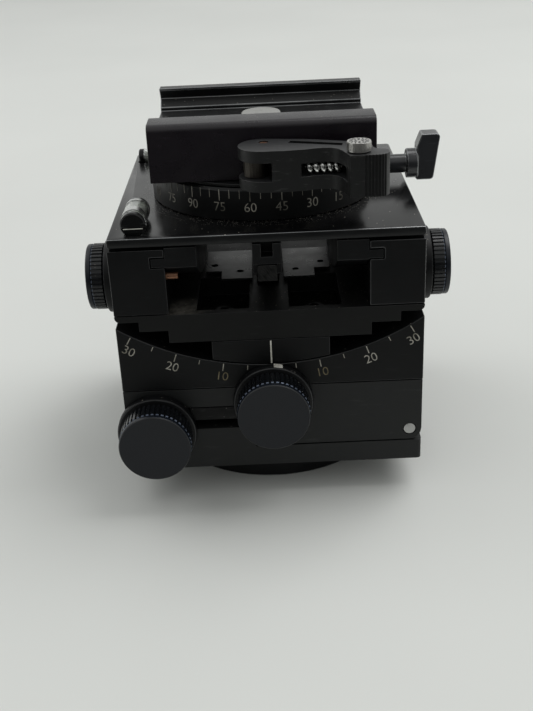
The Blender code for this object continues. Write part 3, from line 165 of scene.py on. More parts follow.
def anodised(name, dark, light, rough, specular, grain=0.12, depth=0.02, dust=0.02, stretch=(1, 1, 1),
             metallic=0.0, dust_ring=None, film=None, rub=0.12):
    """Blasted and anodised metal: fine grain, cloudy sheen, faint rubs and dust on level faces.

    A dust ring has crumbs, and a film a soft veil: inner radius, outer radius and centre in millimetres.
    """
    finish, tree, shader = new_finish(name)
    place = millimetres(tree)
    brushed = millimetres(tree, stretch)
    cloudy = cloud(tree, place, 9, 0.3, 0.7, 4)
    fine = cloud(tree, brushed, grain, 0.2, 0.8, 1)
    rubs = cloud(tree, millimetres(tree, (0.15, 1.6, 0.9)), 1.1, 0.63, 0.72, 5)
    base = tinted(tree, cloudy, dark, light)
    base = tinted(tree, times(tree, rubs, rub), base, tuple(4 * c + 0.01 for c in light))
    level = facing_up(tree)
    amount = times(tree, specks(tree, place, 0.9, dust * 4), level)
    fluff = times(tree, times(tree, cloud(tree, place, 0.5, 0.55, 0.75, 3), cloudy), times(tree, level, dust))
    amount = most(tree, amount, fluff)
    if dust_ring:
        near = ring_mask(tree, *dust_ring)
        crumbs = times(tree, specks(tree, place, 0.55, 0.8, 0.36), 0.5)
        patchy = times(tree, near, cloud(tree, place, 2.4, 0.32, 0.48, 3))
        amount = most(tree, amount, times(tree, times(tree, crumbs, patchy), level))
    if film:
        soft = between(tree, cloud(tree, place, 1.7, 0.35, 0.65, 4), 0.12, 0.42)
        veil = times(tree, times(tree, ring_mask(tree, *film), soft), level)
        amount = most(tree, amount, veil)
    base = tinted(tree, amount, base, DUST)
    tree.links.new(base, shader.inputs["Base Color"])
    worn = between(tree, cloudy, rough - 0.05, rough + 0.06)
    worn = add(tree, "Math", {0: worn, 1: times(tree, amount, 0.5)}, operation="ADD").outputs[0]
    worn = add(tree, "Math", {0: worn, 1: times(tree, rubs, 0.6 * rub)}, operation="SUBTRACT").outputs[0]
    tree.links.new(worn, shader.inputs["Roughness"])
    bump = {"Height": fine, "Strength": 0.35, "Distance": depth * MM}
    tree.links.new(add(tree, "Bump", bump).outputs[0], shader.inputs["Normal"])
    shader.inputs["Metallic"].default_value = metallic
    shader.inputs["Specular IOR Level"].default_value = specular
    return finish


def bare_metal(name, dark, light, rough, lay=(1, 1, 1), grain=0.2, depth=0.01, grime=0.2, turn=None):
    """Turned or brushed metal: tool marks along the lay, stains and a little grime."""
    finish, tree, shader = new_finish(name)
    place = millimetres(tree)
    marks = cloud(tree, millimetres(tree, lay, turn), grain, 0.3, 0.7, 3)
    stains = cloud(tree, place, 2.4, 0.5, 0.75, 4)
    base = tinted(tree, marks, dark, light)
    base = tinted(tree, times(tree, stains, grime), base, tuple(0.25 * c for c in dark))
    tree.links.new(base, shader.inputs["Base Color"])
    worn = between(tree, stains, rough, rough + 0.15)
    tree.links.new(worn, shader.inputs["Roughness"])
    bump = {"Height": marks, "Strength": 0.4, "Distance": depth * MM}
    tree.links.new(add(tree, "Bump", bump).outputs[0], shader.inputs["Normal"])
    shader.inputs["Metallic"].default_value = 1.0
    return finish


def moulded(name, dark, light, rough, specular=0.4, texture=0.25, depth=0.03, dust=0.6):
    """Moulded plastic: a fine spark texture, handled places and grey scuffs."""
    finish, tree, shader = new_finish(name)
    place = millimetres(tree)
    pebbles = add(tree, "TexVoronoi", {"Vector": place, "Scale": 1 / texture}, feature="SMOOTH_F1")
    handled = cloud(tree, place, 5, 0.35, 0.7, 4)
    scuffs = cloud(tree, millimetres(tree, (0.3, 1.2, 2.2)), 0.9, 0.62, 0.7, 6)
    base = tinted(tree, handled, dark, light)
    base = tinted(tree, times(tree, scuffs, 0.22), base, (0.12, 0.12, 0.12))
    base = tinted(tree, times(tree, specks(tree, place, 0.8, 0.1), dust), base, (0.3, 0.29, 0.27))
    tree.links.new(base, shader.inputs["Base Color"])
    tree.links.new(between(tree, handled, rough + 0.06, rough - 0.06), shader.inputs["Roughness"])
    bump = {"Height": pebbles.outputs["Distance"], "Strength": 0.5, "Distance": depth * MM}
    tree.links.new(add(tree, "Bump", bump).outputs[0], shader.inputs["Normal"])
    shader.inputs["Specular IOR Level"].default_value = specular
    return finish


def scale_paint(name, dark, light, patch=2.6):
    """Paint in an engraved scale: full in places, thin and dirty in others."""
    finish, tree, shader = new_finish(name)
    place = millimetres(tree)
    thin = cloud(tree, place, patch, 0.36, 0.62, 3)
    chips = cloud(tree, place, 0.22, 0.4, 0.55, 2)
    base = tinted(tree, thin, dark, light)
    base = tinted(tree, times(tree, chips, 0.25), base, dark)
    tree.links.new(base, shader.inputs["Base Color"])
    tree.links.new(between(tree, chips, 0.6, 0.85), shader.inputs["Roughness"])
    bump = {"Height": chips, "Strength": 0.3, "Distance": 0.02 * MM}
    tree.links.new(add(tree, "Bump", bump).outputs[0], shader.inputs["Normal"])
    shader.inputs["Specular IOR Level"].default_value = 0.3
    return finish


def clear_glass(name, tint, rough, streak):
    """Clear tube or liquid with faint streaks along it."""
    finish, tree, shader = new_finish(name)
    marks = cloud(tree, millimetres(tree), streak, 0.4, 0.7, 3)
    tree.links.new(tinted(tree, marks, tint, tuple(0.93 * c for c in tint)), shader.inputs["Base Color"])
    tree.links.new(between(tree, marks, rough, rough + 0.05), shader.inputs["Roughness"])
    shader.inputs["Transmission Weight"].default_value = 1.0
    shader.inputs["IOR"].default_value = 1.49
    return finish


satin_black = anodised("satin_black_anodised", (0.0028, 0.003, 0.0035), (0.0042, 0.0045, 0.0051), 0.42, 0.2)
# Painted light: a lighter copy of the black anodising for the body block and foot plate, for light bounced up
# from the floor.
body_black_bounce_lit = anodised("body_black_painted_bounce_light", (0.0095, 0.0102, 0.0104), (0.012, 0.0128, 0.013), 0.42, 0.25)
wall_black = anodised("wall_black_anodised", (0.0028, 0.0031, 0.0034), (0.0042, 0.0046, 0.005), 0.45, 0.2)
plate_black = anodised(
    "polished_plate_black", (0.003, 0.0031, 0.0035), (0.0045, 0.0046, 0.005), 0.2, 0.5, dust=0.012,
    dust_ring=(33.4, 38.5), depth=0.006)
# Painted highlight on the upper edges of the top plate and the pan lock wing.
plate_edge_highlight = anodised(
    "polished_plate_edge_painted_highlight", (0.16, 0.165, 0.17), (0.3, 0.305, 0.31), 0.22, 0.6, metallic=0.8, dust=0.0)
drum_black = anodised(
    "turned_drum_black", (0.0032, 0.0035, 0.0037), (0.0048, 0.005, 0.0054), 0.38, 0.25,
    stretch=(0.3, 0.3, 4), dust=0.03)
floor_black = anodised(
    "dusty_cradle_black", (0.0035, 0.0038, 0.0038), (0.006, 0.0063, 0.006), 0.5, 0.22, dust=0.05,
    film=(1.5, 8.0, (-24.0, -38.0)))
clamp_black = anodised(
    "clamp_black_anodised", (0.0045, 0.0047, 0.0052), (0.0075, 0.0078, 0.0084), 0.36, 0.4, dust=0.03,
    stretch=(0.25, 2, 2))
jaw_purple = anodised(
    "faded_jaw_anodised", (0.005, 0.0032, 0.0055), (0.0078, 0.005, 0.0085), 0.28, 0.5,
    stretch=(0.25, 2, 2), dust=0.004)
knob_black = anodised(
    "knob_rib_black", (0.0036, 0.0043, 0.0056), (0.0056, 0.0067, 0.0085), 0.27, 0.5, dust=0.01)
knob_bevel = anodised(
    "knob_bevel_blue", (0.004, 0.006, 0.0105), (0.0065, 0.0092, 0.015), 0.34, 0.35, dust=0.0)
knob_face = anodised(
    "knob_face_blue_black", (0.022, 0.0231, 0.0256), (0.0236, 0.0248, 0.0276), 0.7, 0.12, grain=0.08,
    depth=0.006, dust=0.0, rub=0.0)
wing_black = anodised("wing_screw_gloss", (0.014, 0.0147, 0.0172), (0.019, 0.02, 0.0235), 0.2, 0.6, dust=0.0)
# Rubbed edge wear, lightened further by a painted highlight, on the bevels of most pieces.
worn_edge_and_highlight = anodised(
    "rubbed_edge_and_painted_highlight_grey", (0.014, 0.0145, 0.015), (0.036, 0.037, 0.038), 0.3, 0.5, metallic=0.4, dust=0.0)
# Rubbed edge wear lightened into a painted highlight, on the side blocks and the friction rings.
block_edge_and_highlight = anodised(
    "rubbed_block_edge_and_painted_highlight", (0.02, 0.0205, 0.0215), (0.052, 0.053, 0.055), 0.3, 0.5, metallic=0.5, dust=0.0)
# Painted highlight on the edges of the clamp base.
painted_highlight_edge = anodised(
    "painted_highlight_edge_line", (0.16, 0.165, 0.17), (0.34, 0.345, 0.35), 0.28, 0.6, metallic=0.8, dust=0.0)
# Painted glint on the front bevel of each knob rib.
rib_tip_glint = anodised(
    "rib_chamfer_blue_painted_glint", (0.05, 0.062, 0.09), (0.15, 0.175, 0.23), 0.24, 0.6, metallic=0.8, dust=0.0)
plate_side = anodised(
    "plate_side_satin", (0.0042, 0.0045, 0.005), (0.006, 0.0064, 0.007), 0.4, 0.25, dust=0.0)
# Painted light: the lever's level faces take this lighter copy of its plastic, its upright faces the darker
# lever_plastic.
lever_top_lit = moulded(
    "lever_top_satin_painted_light", (0.019, 0.0195, 0.0205), (0.03, 0.0307, 0.032), 0.36, 0.4, depth=0.012, dust=0.15)
# Painted highlight on the lever's upper edges; its lower edges take the darker plastic.
lever_edge_highlight = moulded("lever_edge_painted_highlight", (0.1, 0.1, 0.103), (0.17, 0.17, 0.174), 0.3, 0.5, depth=0.006)
lever_plastic = moulded(
    "lever_plastic_black", (0.0065, 0.0068, 0.007), (0.0095, 0.0098, 0.01), 0.42, dust=0.06)
strip_plastic = moulded("strip_plastic_black", (0.0045, 0.0045, 0.0047), (0.0072, 0.0072, 0.0074), 0.55, 0.2)
cover_plastic = moulded(
    "gear_cover_gloss", (0.0085, 0.0089, 0.0083), (0.0125, 0.013, 0.0122), 0.3, 0.4, depth=0.003, dust=0.1)
cap_plastic = moulded("vial_cap_gloss", (0.003, 0.003, 0.0034), (0.005, 0.005, 0.0054), 0.2, 0.3, depth=0.004,
                      dust=0.1)
bright_steel = bare_metal("turned_steel", (0.42, 0.42, 0.41), (0.66, 0.65, 0.63), 0.26, (1, 1, 4))
knurled_steel = bare_metal("knurled_button_steel", (0.46, 0.45, 0.43), (0.74, 0.73, 0.7), 0.3, (2, 2, 0.4))
spring_steel = bare_metal("polished_spring_steel", (0.7, 0.7, 0.68), (0.92, 0.92, 0.9), 0.16, (4, 1, 1), 0.15)
pin_steel = bare_metal("satin_pin_end", (0.42, 0.42, 0.41), (0.55, 0.55, 0.54), 0.5, (1, 1, 1), 0.08)
eye_steel = bare_metal("dull_tie_bolt_steel", (0.05, 0.045, 0.038), (0.11, 0.1, 0.088), 0.42, (1, 1, 3), 0.3)
dark_steel = bare_metal(
    "scratched_tab_steel", (0.012, 0.012, 0.0125), (0.045, 0.045, 0.044), 0.4, (1.8, 0.3, 0.25), 0.4,
    turn=(0, 0.65, 0))
screw_steel = bare_metal("blackened_screw_steel", (0.012, 0.012, 0.013), (0.03, 0.03, 0.032), 0.36)
floor_screw = bare_metal("clamp_screw_grey", (0.34, 0.34, 0.325), (0.46, 0.46, 0.445), 0.55, (1, 1, 1), 0.15)
gear_brass = bare_metal("greased_gear_brass", (0.38, 0.25, 0.08), (0.58, 0.4, 0.15), 0.32, (0.4, 3, 1))
copper = bare_metal("copper_pin", (0.2, 0.1, 0.06), (0.36, 0.2, 0.13), 0.42, (3, 1, 1))
scale_white = scale_paint("scale_paint_white", (0.16, 0.152, 0.125), (0.4, 0.385, 0.345))
scale_dim = scale_paint("scale_paint_dim_yellow", (0.09, 0.075, 0.045), (0.2, 0.17, 0.11))
drum_paint = scale_paint("drum_paint_grey", (0.065, 0.062, 0.052), (0.31, 0.295, 0.26), 9)
line_white = scale_paint("index_line_white", (0.42, 0.41, 0.36), (0.68, 0.67, 0.62))
glass = clear_glass("vial_glass", (0.93, 0.95, 0.93), 0.02, 3)
vial_white = moulded("vial_backing_white", (0.42, 0.43, 0.4), (0.56, 0.57, 0.54), 0.35, 0.4, depth=0.004)
band_silver = bare_metal("vial_band_silver", (0.55, 0.56, 0.55), (0.8, 0.8, 0.79), 0.25, (0.5, 4, 0.5))


# Pieces

def link(piece):
    bpy.context.scene.collection.objects.link(piece)
    return piece


def baked(piece, name=None):
    """The piece as a plain mesh, with its modifiers or text outline worked in."""
    bpy.context.view_layer.update()
    ready = piece.evaluated_get(bpy.context.evaluated_depsgraph_get())
    mesh = bpy.data.meshes.new_from_object(ready)
    done = link(bpy.data.objects.new("tmp", mesh))
    title = name or piece.name
    bpy.data.objects.remove(piece)
    done.name = title
    mesh.name = title
    return done


def from_bmesh(name, work, *finishes):
    """A linked object from faces that are ready, turned to point outwards."""
    bmesh.ops.recalc_face_normals(work, faces=work.faces)
    mesh = bpy.data.meshes.new(name)
    work.to_mesh(mesh)
    work.free()
    for finish in finishes:
        mesh.materials.append(finish)
    return link(bpy.data.objects.new(name, mesh))


def smoothed(piece, angle=35):
    piece.data.shade_smooth()
    piece.data.set_sharp_from_angle(angle=radians(angle))
    return piece


def riding(piece, body, slot, *nodes):
    """Ties a finished piece to its body and hides the nodes it stands for; the slot is not used."""
    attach(piece, body)
    if nodes:
        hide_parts(*nodes)
    return piece


def dressed(node, body, slot, face, edge=worn_edge_and_highlight, width=0.3 * MM, angle=34, segments=2,
            upright=None, held=True):
    """A copy of a solid with small rounded edges in place of its sharp ones, in the edge finish: by default
    rubbed wear with a painted highlight.

    With a finish for upright faces, the edge finish and its painted highlight stay on the upper edges alone,
    and lower edges take the upright finish. A held bevel is narrowed where edges are short.
    """
    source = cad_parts[node].data
    work = bmesh.new()
    work.from_mesh(source)
    bmesh.ops.remove_doubles(work, verts=work.verts, dist=0.003 * MM)
    bmesh.ops.dissolve_limit(work, angle_limit=radians(0.5), verts=work.verts, edges=work.edges)
    work.verts.index_update()
    points = [v.co.copy() for v in work.verts]
    faces = [[v.index for v in f.verts] for f in work.faces]
    work.free()
    mesh = bpy.data.meshes.new(node)
    mesh.from_pydata(points, [], faces)
    mesh.materials.append(face)
    mesh.materials.append(edge)
    piece = link(bpy.data.objects.new(node + "_dressed", mesh))
    smoothed(piece, 30)
    bevel = piece.modifiers.new("edges", "BEVEL")
    bevel.limit_method = "ANGLE"
    bevel.angle_limit = radians(angle)
    bevel.width = width
    bevel.segments = segments
    bevel.material = 1
    bevel.harden_normals = True
    bevel.use_clamp_overlap = held
    bevel.miter_outer = "MITER_ARC"
    piece = baked(piece)
    # Painted light: the highlight of the edge finish stays on upper edges; lower edges and upright faces take
    # the upright finish.
    if upright:
        piece.data.materials.append(upright)
        for polygon in piece.data.polygons:
            slope = polygon.normal.z
            upright_face = polygon.material_index == 0 and abs(slope) < 0.5
            low_edge = polygon.material_index == 1 and slope < 0.2
            if upright_face or low_edge:
                polygon.material_index = 2
    return riding(piece, body, slot, node)


def carried(finish, *nodes):
    """A better finish for solids whose shape is already right."""
    for node in nodes:
        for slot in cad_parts[node].material_slots:
            slot.material = finish


def along(axis, centre, start=0.0):
    """Turns +Z of a shape to an axis, with its local origin at the centre."""
    turns = {
        "X": Matrix(((0, 0, 1, 0), (1, 0, 0, 0), (0, 1, 0, 0), (0, 0, 0, 1))),
        "-X": Matrix(((0, 0, -1, 0), (-1, 0, 0, 0), (0, 1, 0, 0), (0, 0, 0, 1))),
        "Y": Matrix(((-1, 0, 0, 0), (0, 0, 1, 0), (0, 1, 0, 0), (0, 0, 0, 1))),
        "-Y": Matrix(((1, 0, 0, 0), (0, 0, -1, 0), (0, 1, 0, 0), (0, 0, 0, 1))),
        "Z": Matrix.Identity(4),
        "-Z": Matrix(((1, 0, 0, 0), (0, -1, 0, 0), (0, 0, -1, 0), (0, 0, 0, 1))),
    }
    return Matrix.Translation(Vector(centre)) @ turns[axis] @ Matrix.Translation((0, 0, start))


def lathe(name, profile, steps, matrix, *finishes):
    """A turned solid: radius, height and finish number for each corner of its profile."""
    work = bmesh.new()
    rings = []
    for radius, height, _ in profile:
        if radius == 0:
            rings.append([work.verts.new((0, 0, height))])
            continue
        turn = [2 * pi * i / steps for i in range(steps)]
        rings.append([work.verts.new((radius * cos(a), radius * sin(a), height)) for a in turn])
    pairs = list(zip(rings, rings[1:], profile[1:]))
    if profile[0][0] > 0:
        pairs.append((rings[-1], rings[0], profile[0]))
    for low, high, corner in pairs:
        for i in range(steps):
            j = (i + 1) % steps
            if len(low) == 1:
                face = work.faces.new((low[0], high[j], high[i]))
            elif len(high) == 1:
                face = work.faces.new((low[i], low[j], high[0]))
            else:
                face = work.faces.new((low[i], low[j], high[j], high[i]))
            face.material_index = corner[2]
    work.transform(matrix)
    return smoothed(from_bmesh(name, work, *finishes))


# Repeats

def new_tree(name, sizes):
    """An empty node tree with named inputs."""
    tree = bpy.data.node_groups.new(name, "GeometryNodeTree")
    tree.interface.new_socket("Pattern piece", in_out="INPUT", socket_type="NodeSocketGeometry")
    tree.interface.new_socket("Result", in_out="OUTPUT", socket_type="NodeSocketGeometry")
    for label, kind in sizes:
        tree.interface.new_socket(label, in_out="INPUT", socket_type="NodeSocket" + kind)
    return tree, tree.nodes.new("NodeGroupInput").outputs, tree.nodes.new("NodeGroupOutput").inputs


def grow(tree, kind, inputs=None, **settings):
    """One node of a repeat, with its inputs joined or set."""
    node = tree.nodes.new(kind)
    for key, value in settings.items():
        setattr(node, key, value)
    for key, value in (inputs or {}).items():
        if isinstance(value, bpy.types.NodeSocket):
            tree.links.new(value, node.inputs[key])
        else:
            node.inputs[key].default_value = value
    return node


def end_tree(tree, copies, start, result):
    """Real copies, in one finish or, on faces marked as tips, in a second one."""
    real = grow(tree, "GeometryNodeRealizeInstances", {0: copies}).outputs[0]
    main = grow(tree, "GeometryNodeSetMaterial", {"Geometry": real, "Material": start["Finish"]}).outputs[0]
    tip = grow(tree, "GeometryNodeInputNamedAttribute", {"Name": "tip"}, data_type="BOOLEAN")
    last = grow(tree, "GeometryNodeSetMaterial", {
        "Geometry": main, "Selection": tip.outputs["Attribute"], "Material": start["Tip finish"]})
    tree.links.new(last.outputs[0], result[0])


def round_axis_tree():
    """Copies of a piece turned about the local Z axis by even steps."""
    tree, start, result = new_tree("copies_round_an_axis", [
        ("Count", "Int"), ("First angle", "Float"), ("Step angle", "Float"),
        ("Finish", "Material"), ("Tip finish", "Material")])
    points = grow(tree, "GeometryNodePoints", {"Count": start["Count"]}).outputs[0]
    index = grow(tree, "GeometryNodeInputIndex").outputs[0]
    angle = grow(tree, "ShaderNodeMath", {
        0: index, 1: start["Step angle"], 2: start["First angle"]}, operation="MULTIPLY_ADD").outputs[0]
    turn = grow(tree, "FunctionNodeAxisAngleToRotation", {"Axis": (0, 0, 1), "Angle": angle}).outputs[0]
    copies = grow(tree, "GeometryNodeInstanceOnPoints", {
        "Points": points, "Instance": start["Pattern piece"], "Rotation": turn}).outputs[0]
    end_tree(tree, copies, start, result)
    return tree


def on_grid_tree():
    """Copies of a piece on an even grid about the local origin."""
    tree, start, result = new_tree("copies_on_a_grid", [
        ("Width", "Float"), ("Depth", "Float"), ("Across", "Int"), ("Along", "Int"),
        ("Finish", "Material"), ("Tip finish", "Material")])
    grid = grow(tree, "GeometryNodeMeshGrid", {
        "Size X": start["Width"], "Size Y": start["Depth"],
        "Vertices X": start["Across"], "Vertices Y": start["Along"]}).outputs[0]
    copies = grow(tree, "GeometryNodeInstanceOnPoints", {
        "Points": grid, "Instance": start["Pattern piece"]}).outputs[0]
    end_tree(tree, copies, start, result)
    return tree


round_axis = round_axis_tree()
on_grid = on_grid_tree()


def repeated(name, tree, pattern, matrix, sizes):
    """Runs a repeat on a pattern piece, and lays the result in its place as a plain mesh."""
    pattern.name = name
    modifier = pattern.modifiers.new("repeat", "NODES")
    modifier.node_group = tree
    for item in tree.interface.items_tree:
        if item.in_out == "INPUT" and item.name in sizes:
            modifier[item.identifier] = sizes[item.name]
    piece = baked(pattern, name)
    piece.data.transform(matrix)
    return smoothed(piece)


def turned_copies(name, pattern, place, count, step, finish, first=0.0, tip=None):
    """Copies of a piece round a local Z axis, laid in their place."""
    return repeated(name, round_axis, pattern, place, {
        "Count": count, "First angle": first, "Step angle": step,
        "Finish": finish, "Tip finish": tip or finish})


def block(name, size, centre):
    """A small rectangular bar for a scale mark."""
    work = bmesh.new()
    bmesh.ops.create_cube(work, size=1)
    for v in work.verts:
        v.co = Vector(centre) + Vector([v.co[i] * size[i] for i in range(3)])
    return from_bmesh(name, work)


def rib(name, radius, height, width, start, end, bevel):
    """One flat-topped rib on a knob's rim, with a bevel at its front end whose top faces are marked for a
    painted glint.
    """
    work = bmesh.new()
    tip = work.faces.layers.bool.new("tip")
    half = width / 2
    arch = [(-half, -0.25 * MM), (-half * 0.96, 0.5 * height), (-half * 0.72, 0.92 * height),
            (0, height), (half * 0.72, 0.92 * height), (half * 0.96, 0.5 * height), (half, -0.25 * MM)]
    rows = []
    for z, drop in ((start, 0.12 * MM), (start + 0.12 * MM, 0), (end - bevel, 0), (end, 0.8 * bevel)):
        rows.append([work.verts.new((x, -(radius + y - (drop if y > 0 else 0)), z)) for x, y in arch])
    for number, (low, high) in enumerate(zip(rows, rows[1:])):
        for i in range(len(arch)):
            j = (i + 1) % len(arch)
            face = work.faces.new((low[i], low[j], high[j], high[i]))
            face[tip] = number == 2 and 1 < j < len(arch) - 1
    work.faces.new(rows[0])
    work.faces.new(rows[-1])
    return from_bmesh(name, work)


def ribbed_knob(name, body, axis, centre, span):
    """A turned knob core with a flat face and a glossy lip, and the ribs that end behind the lip."""
    inner, outer = span
    rim, depth, lip, lip_l = 9.84 * MM, 0.42 * MM, 10.14 * MM, 1.6 * MM
    shoulder = outer - lip_l
    place = along(axis, centre)
    core = lathe(name + "_core", [
        (0, inner, 0), (rim - 0.5 * MM, inner, 0), (rim, inner + 0.4 * MM, 0),
        (rim, shoulder, 0), (lip - 0.16 * MM, shoulder + 0.04 * MM, 0), (lip, shoulder + 0.24 * MM, 2),
        (lip, outer - 0.42 * MM, 2), (lip - 0.12 * MM, outer - 0.14 * MM, 2), (lip - 0.28 * MM, outer, 3),
        (0, outer, 1)], 120, place, knob_black, knob_face, knob_bevel, worn_edge_and_highlight)
    pattern = rib("rib", rim, depth, 1.0 * MM, inner + 0.2 * MM, shoulder + 0.1 * MM, 0.36 * MM)
    ribs = turned_copies(
        name + "_ribs", pattern, place, KNOB_RIBS, 2 * pi / KNOB_RIBS, knob_black, tip=rib_tip_glint)
    riding(core, body, "knob_grey", name)
    riding(ribs, body, "knob_grey")


def ring(name, body, axis, centre, span):
    """A friction ring whose outer chamfer has rubbed wear and a painted highlight line."""
    inner, outer = span
    hole, chamfer = 2.8 * MM, 0.42 * MM
    profile = [
        (hole, inner, 0), (RING_R - 0.2 * MM, inner, 0), (RING_R, inner + 0.2 * MM, 0),
        (RING_R, outer - chamfer, 0), (RING_R - 0.16 * MM, outer - 0.14 * MM, 0),
        (RING_R - chamfer, outer, 1), (hole, outer, 0)]
    piece = lathe(name + "_turned", profile, 96, along(axis, centre), satin_black, block_edge_and_highlight)
    return riding(piece, body, "black_anodised", name)


def socket_screw(radius, height, chamfer, socket, depth, cone=0.0):
    """A screw head with a hexagon socket, its top at the local origin. A cone makes it countersunk."""
    steps = 24
    work = bmesh.new()
    hexagon = []
    for i in range(steps):
        angle = 2 * pi * i / steps
        slice_angle = (angle % (pi / 3)) - pi / 6
        reach = socket / 2 / cos(slice_angle)
        hexagon.append((reach * cos(angle), reach * sin(angle)))
    around = [(cos(2 * pi * i / steps), sin(2 * pi * i / steps)) for i in range(steps)]
    foot = radius - cone
    rows = [
        [(foot * x, foot * y, -height) for x, y in around],
        [(radius * x, radius * y, -chamfer) for x, y in around],
        [((radius - chamfer) * x, (radius - chamfer) * y, 0) for x, y in around],
        [(x, y, 0) for x, y in hexagon],
        [(x * 0.94, y * 0.94, -depth) for x, y in hexagon],
    ]
    rings = [[work.verts.new(p) for p in row] for row in rows]
    for low, high in zip(rings, rings[1:]):
        for i in range(steps):
            j = (i + 1) % steps
            work.faces.new((low[i], low[j], high[j], high[i]))
    work.faces.new(rings[0])
    work.faces.new(rings[-1])
    return from_bmesh("screw", work)


def lettering(name, words, size, finish):
    """Number text as a thin solid in slim strokes, its middle at the local origin, upright in XY."""
    curve = bpy.data.curves.new(name, "FONT")
    curve.body = words
    curve.size = size
    curve.align_x = "CENTER"
    curve.align_y = "CENTER"
    curve.extrude = PAINT / 2
    curve.offset = -0.03 * MM
    curve.resolution_u = 3
    curve.space_character = 0.98
    piece = link(bpy.data.objects.new(name, curve))
    piece = baked(piece)
    piece.data.materials.clear()
    piece.data.materials.append(finish)
    return piece


def joined(name, pieces):
    """Several loose meshes of one body as one piece."""
    work = bmesh.new()
    finishes = []
    for piece in pieces:
        for m in piece.data.materials:
            if m not in finishes:
                finishes.append(m)
        mesh = piece.data
        slots = [finishes.index(m) for m in mesh.materials]
        before = len(work.faces)
        work.from_mesh(mesh)
        work.faces.ensure_lookup_table()
        for face in work.faces[before:]:
            face.material_index = slots[min(face.material_index, len(slots) - 1)]
        bpy.data.objects.remove(piece)
    mesh = bpy.data.meshes.new(name)
    work.to_mesh(mesh)
    work.free()
    for m in finishes:
        mesh.materials.append(m)
    return link(bpy.data.objects.new(name, mesh))


# Base, foot and hinge

def base_and_foot():
    disc = lathe("base_disc_turned", [
        (8.3 * MM, 0, 0), (33.9 * MM, 0, 0), (34.5 * MM, 0.6 * MM, 1), (34.5 * MM, 8.6 * MM, 0),
        (33.9 * MM, 9.2 * MM, 1), (8.3 * MM, 9.2 * MM, 0)], 144, Matrix.Identity(4), satin_black, worn_edge_and_highlight)
    riding(disc, "base", "black_anodised", "base_disc")
    screw = moved(socket_screw(3.4 * MM, 2.2 * MM, 0.15 * MM, 2.6 * MM, 1.4 * MM, 1.4 * MM), (0, -22 * MM, 0))
    sunk = along("-Z", (0, 0, 0.05 * MM))
    screws = turned_copies("base_disc_screws", screw, sunk, 4, pi / 2, screw_steel, pi / 4)
    riding(screws, "base", "bright_steel")
    dressed("foot_plate", "base", "black_anodised", body_black_bounce_lit, width=0.28 * MM)
    carried(pin_steel, "hinge_pin")
    carried(bright_steel, "thread_bush")


def moved(piece, shift):
    """The same piece with its mesh shifted."""
    piece.data.transform(Matrix.Translation(shift))
    return piece


def flip_lock():
    ring("flip_lock_collar", "flip_lock", "-Y", FLIP_LOCK, RING)
    ribbed_knob("flip_lock_knob", "flip_lock", "-Y", FLIP_LOCK, KNOB)
    carried(bright_steel, "flip_lock_screw")


# Lower block and roll scale

def lower_block():
    dressed("body_block", "lower", "black_anodised", body_black_bounce_lit, width=0.25 * MM)
    for side in ("front", "rear"):
        dressed(f"spacer_strip_{side}", "lower", "dark_plastic", strip_plastic, strip_plastic, 0.2 * MM)
        dressed(f"arc_wall_{side}", "lower", "black_anodised", wall_black, width=0.22 * MM, angle=40)
    for sign, side in ((-1, "front"), (1, "rear")):
        roll_scale(sign, side)


def roll_scale(sign, side):
    """Degree marks and numbers along the arc, readable from outside the wall."""
    axis = "-Y" if sign < 0 else "Y"
    place = along(axis, (0, 0, ROLL_CENTRE_Z), HALF + LIFT)
    parts = []
    for step, length, first, count, width in ((10, 2.3, -30, 7, 0.27), (10, 1.35, -25, 6, 0.22)):
        bar = block("tick", (width * MM, length * MM, PAINT), (0, -ARC_R - (0.35 + length / 2) * MM, 0))
        parts.append(turned_copies("ticks", bar, place, count, radians(step), scale_white, radians(first)))
    for value in (-30, -20, -10, 10, 20, 30):
        # The 10 numbers on both sides, beside the ring and knob, take a dimmer, yellower paint than the rest.
        finish = scale_dim if abs(value) == 10 else scale_white
        text = lettering("number", str(abs(value)), 3.8 * MM, finish)
        text.data.transform(Matrix.Translation((0, -ARC_R - 4.4 * MM, 0)))
        angle = radians(value if abs(value) < 30 else 0.97 * value)
        text.data.transform(place @ Matrix.Rotation(angle, 4, "Z"))
        parts.append(text)
    riding(joined(f"roll_scale_{side}", parts), "lower", "black_anodised")


def roll_drive():
    carried(bright_steel, "roll_shaft")
    carried(gear_brass, "roll_pinion_front", "roll_pinion_rear")
    for axis, side in (("-Y", "front"), ("Y", "rear")):
        centre = (0, 0, ROLL_SHAFT_Z)
        ring(f"roll_ring_{side}", f"roll_ring_{side}", axis, centre, RING)
        ribbed_knob(f"roll_knob_{side}", "roll_drive", axis, centre, KNOB)
    patch = block("ring_index_mark", (2.5 * MM, PAINT, 2.2 * MM), (0, -RING_R - LIFT, 44.1 * MM))
    turn = along("-Y", (0, 0, ROLL_SHAFT_Z)) @ Matrix.Rotation(pi - radians(9), 4, "Z")
    patch.data.transform(turn)
    patch.data.materials.append(line_white)
    riding(patch, "roll_ring_front", "black_anodised")


# Cradle and pitch drive

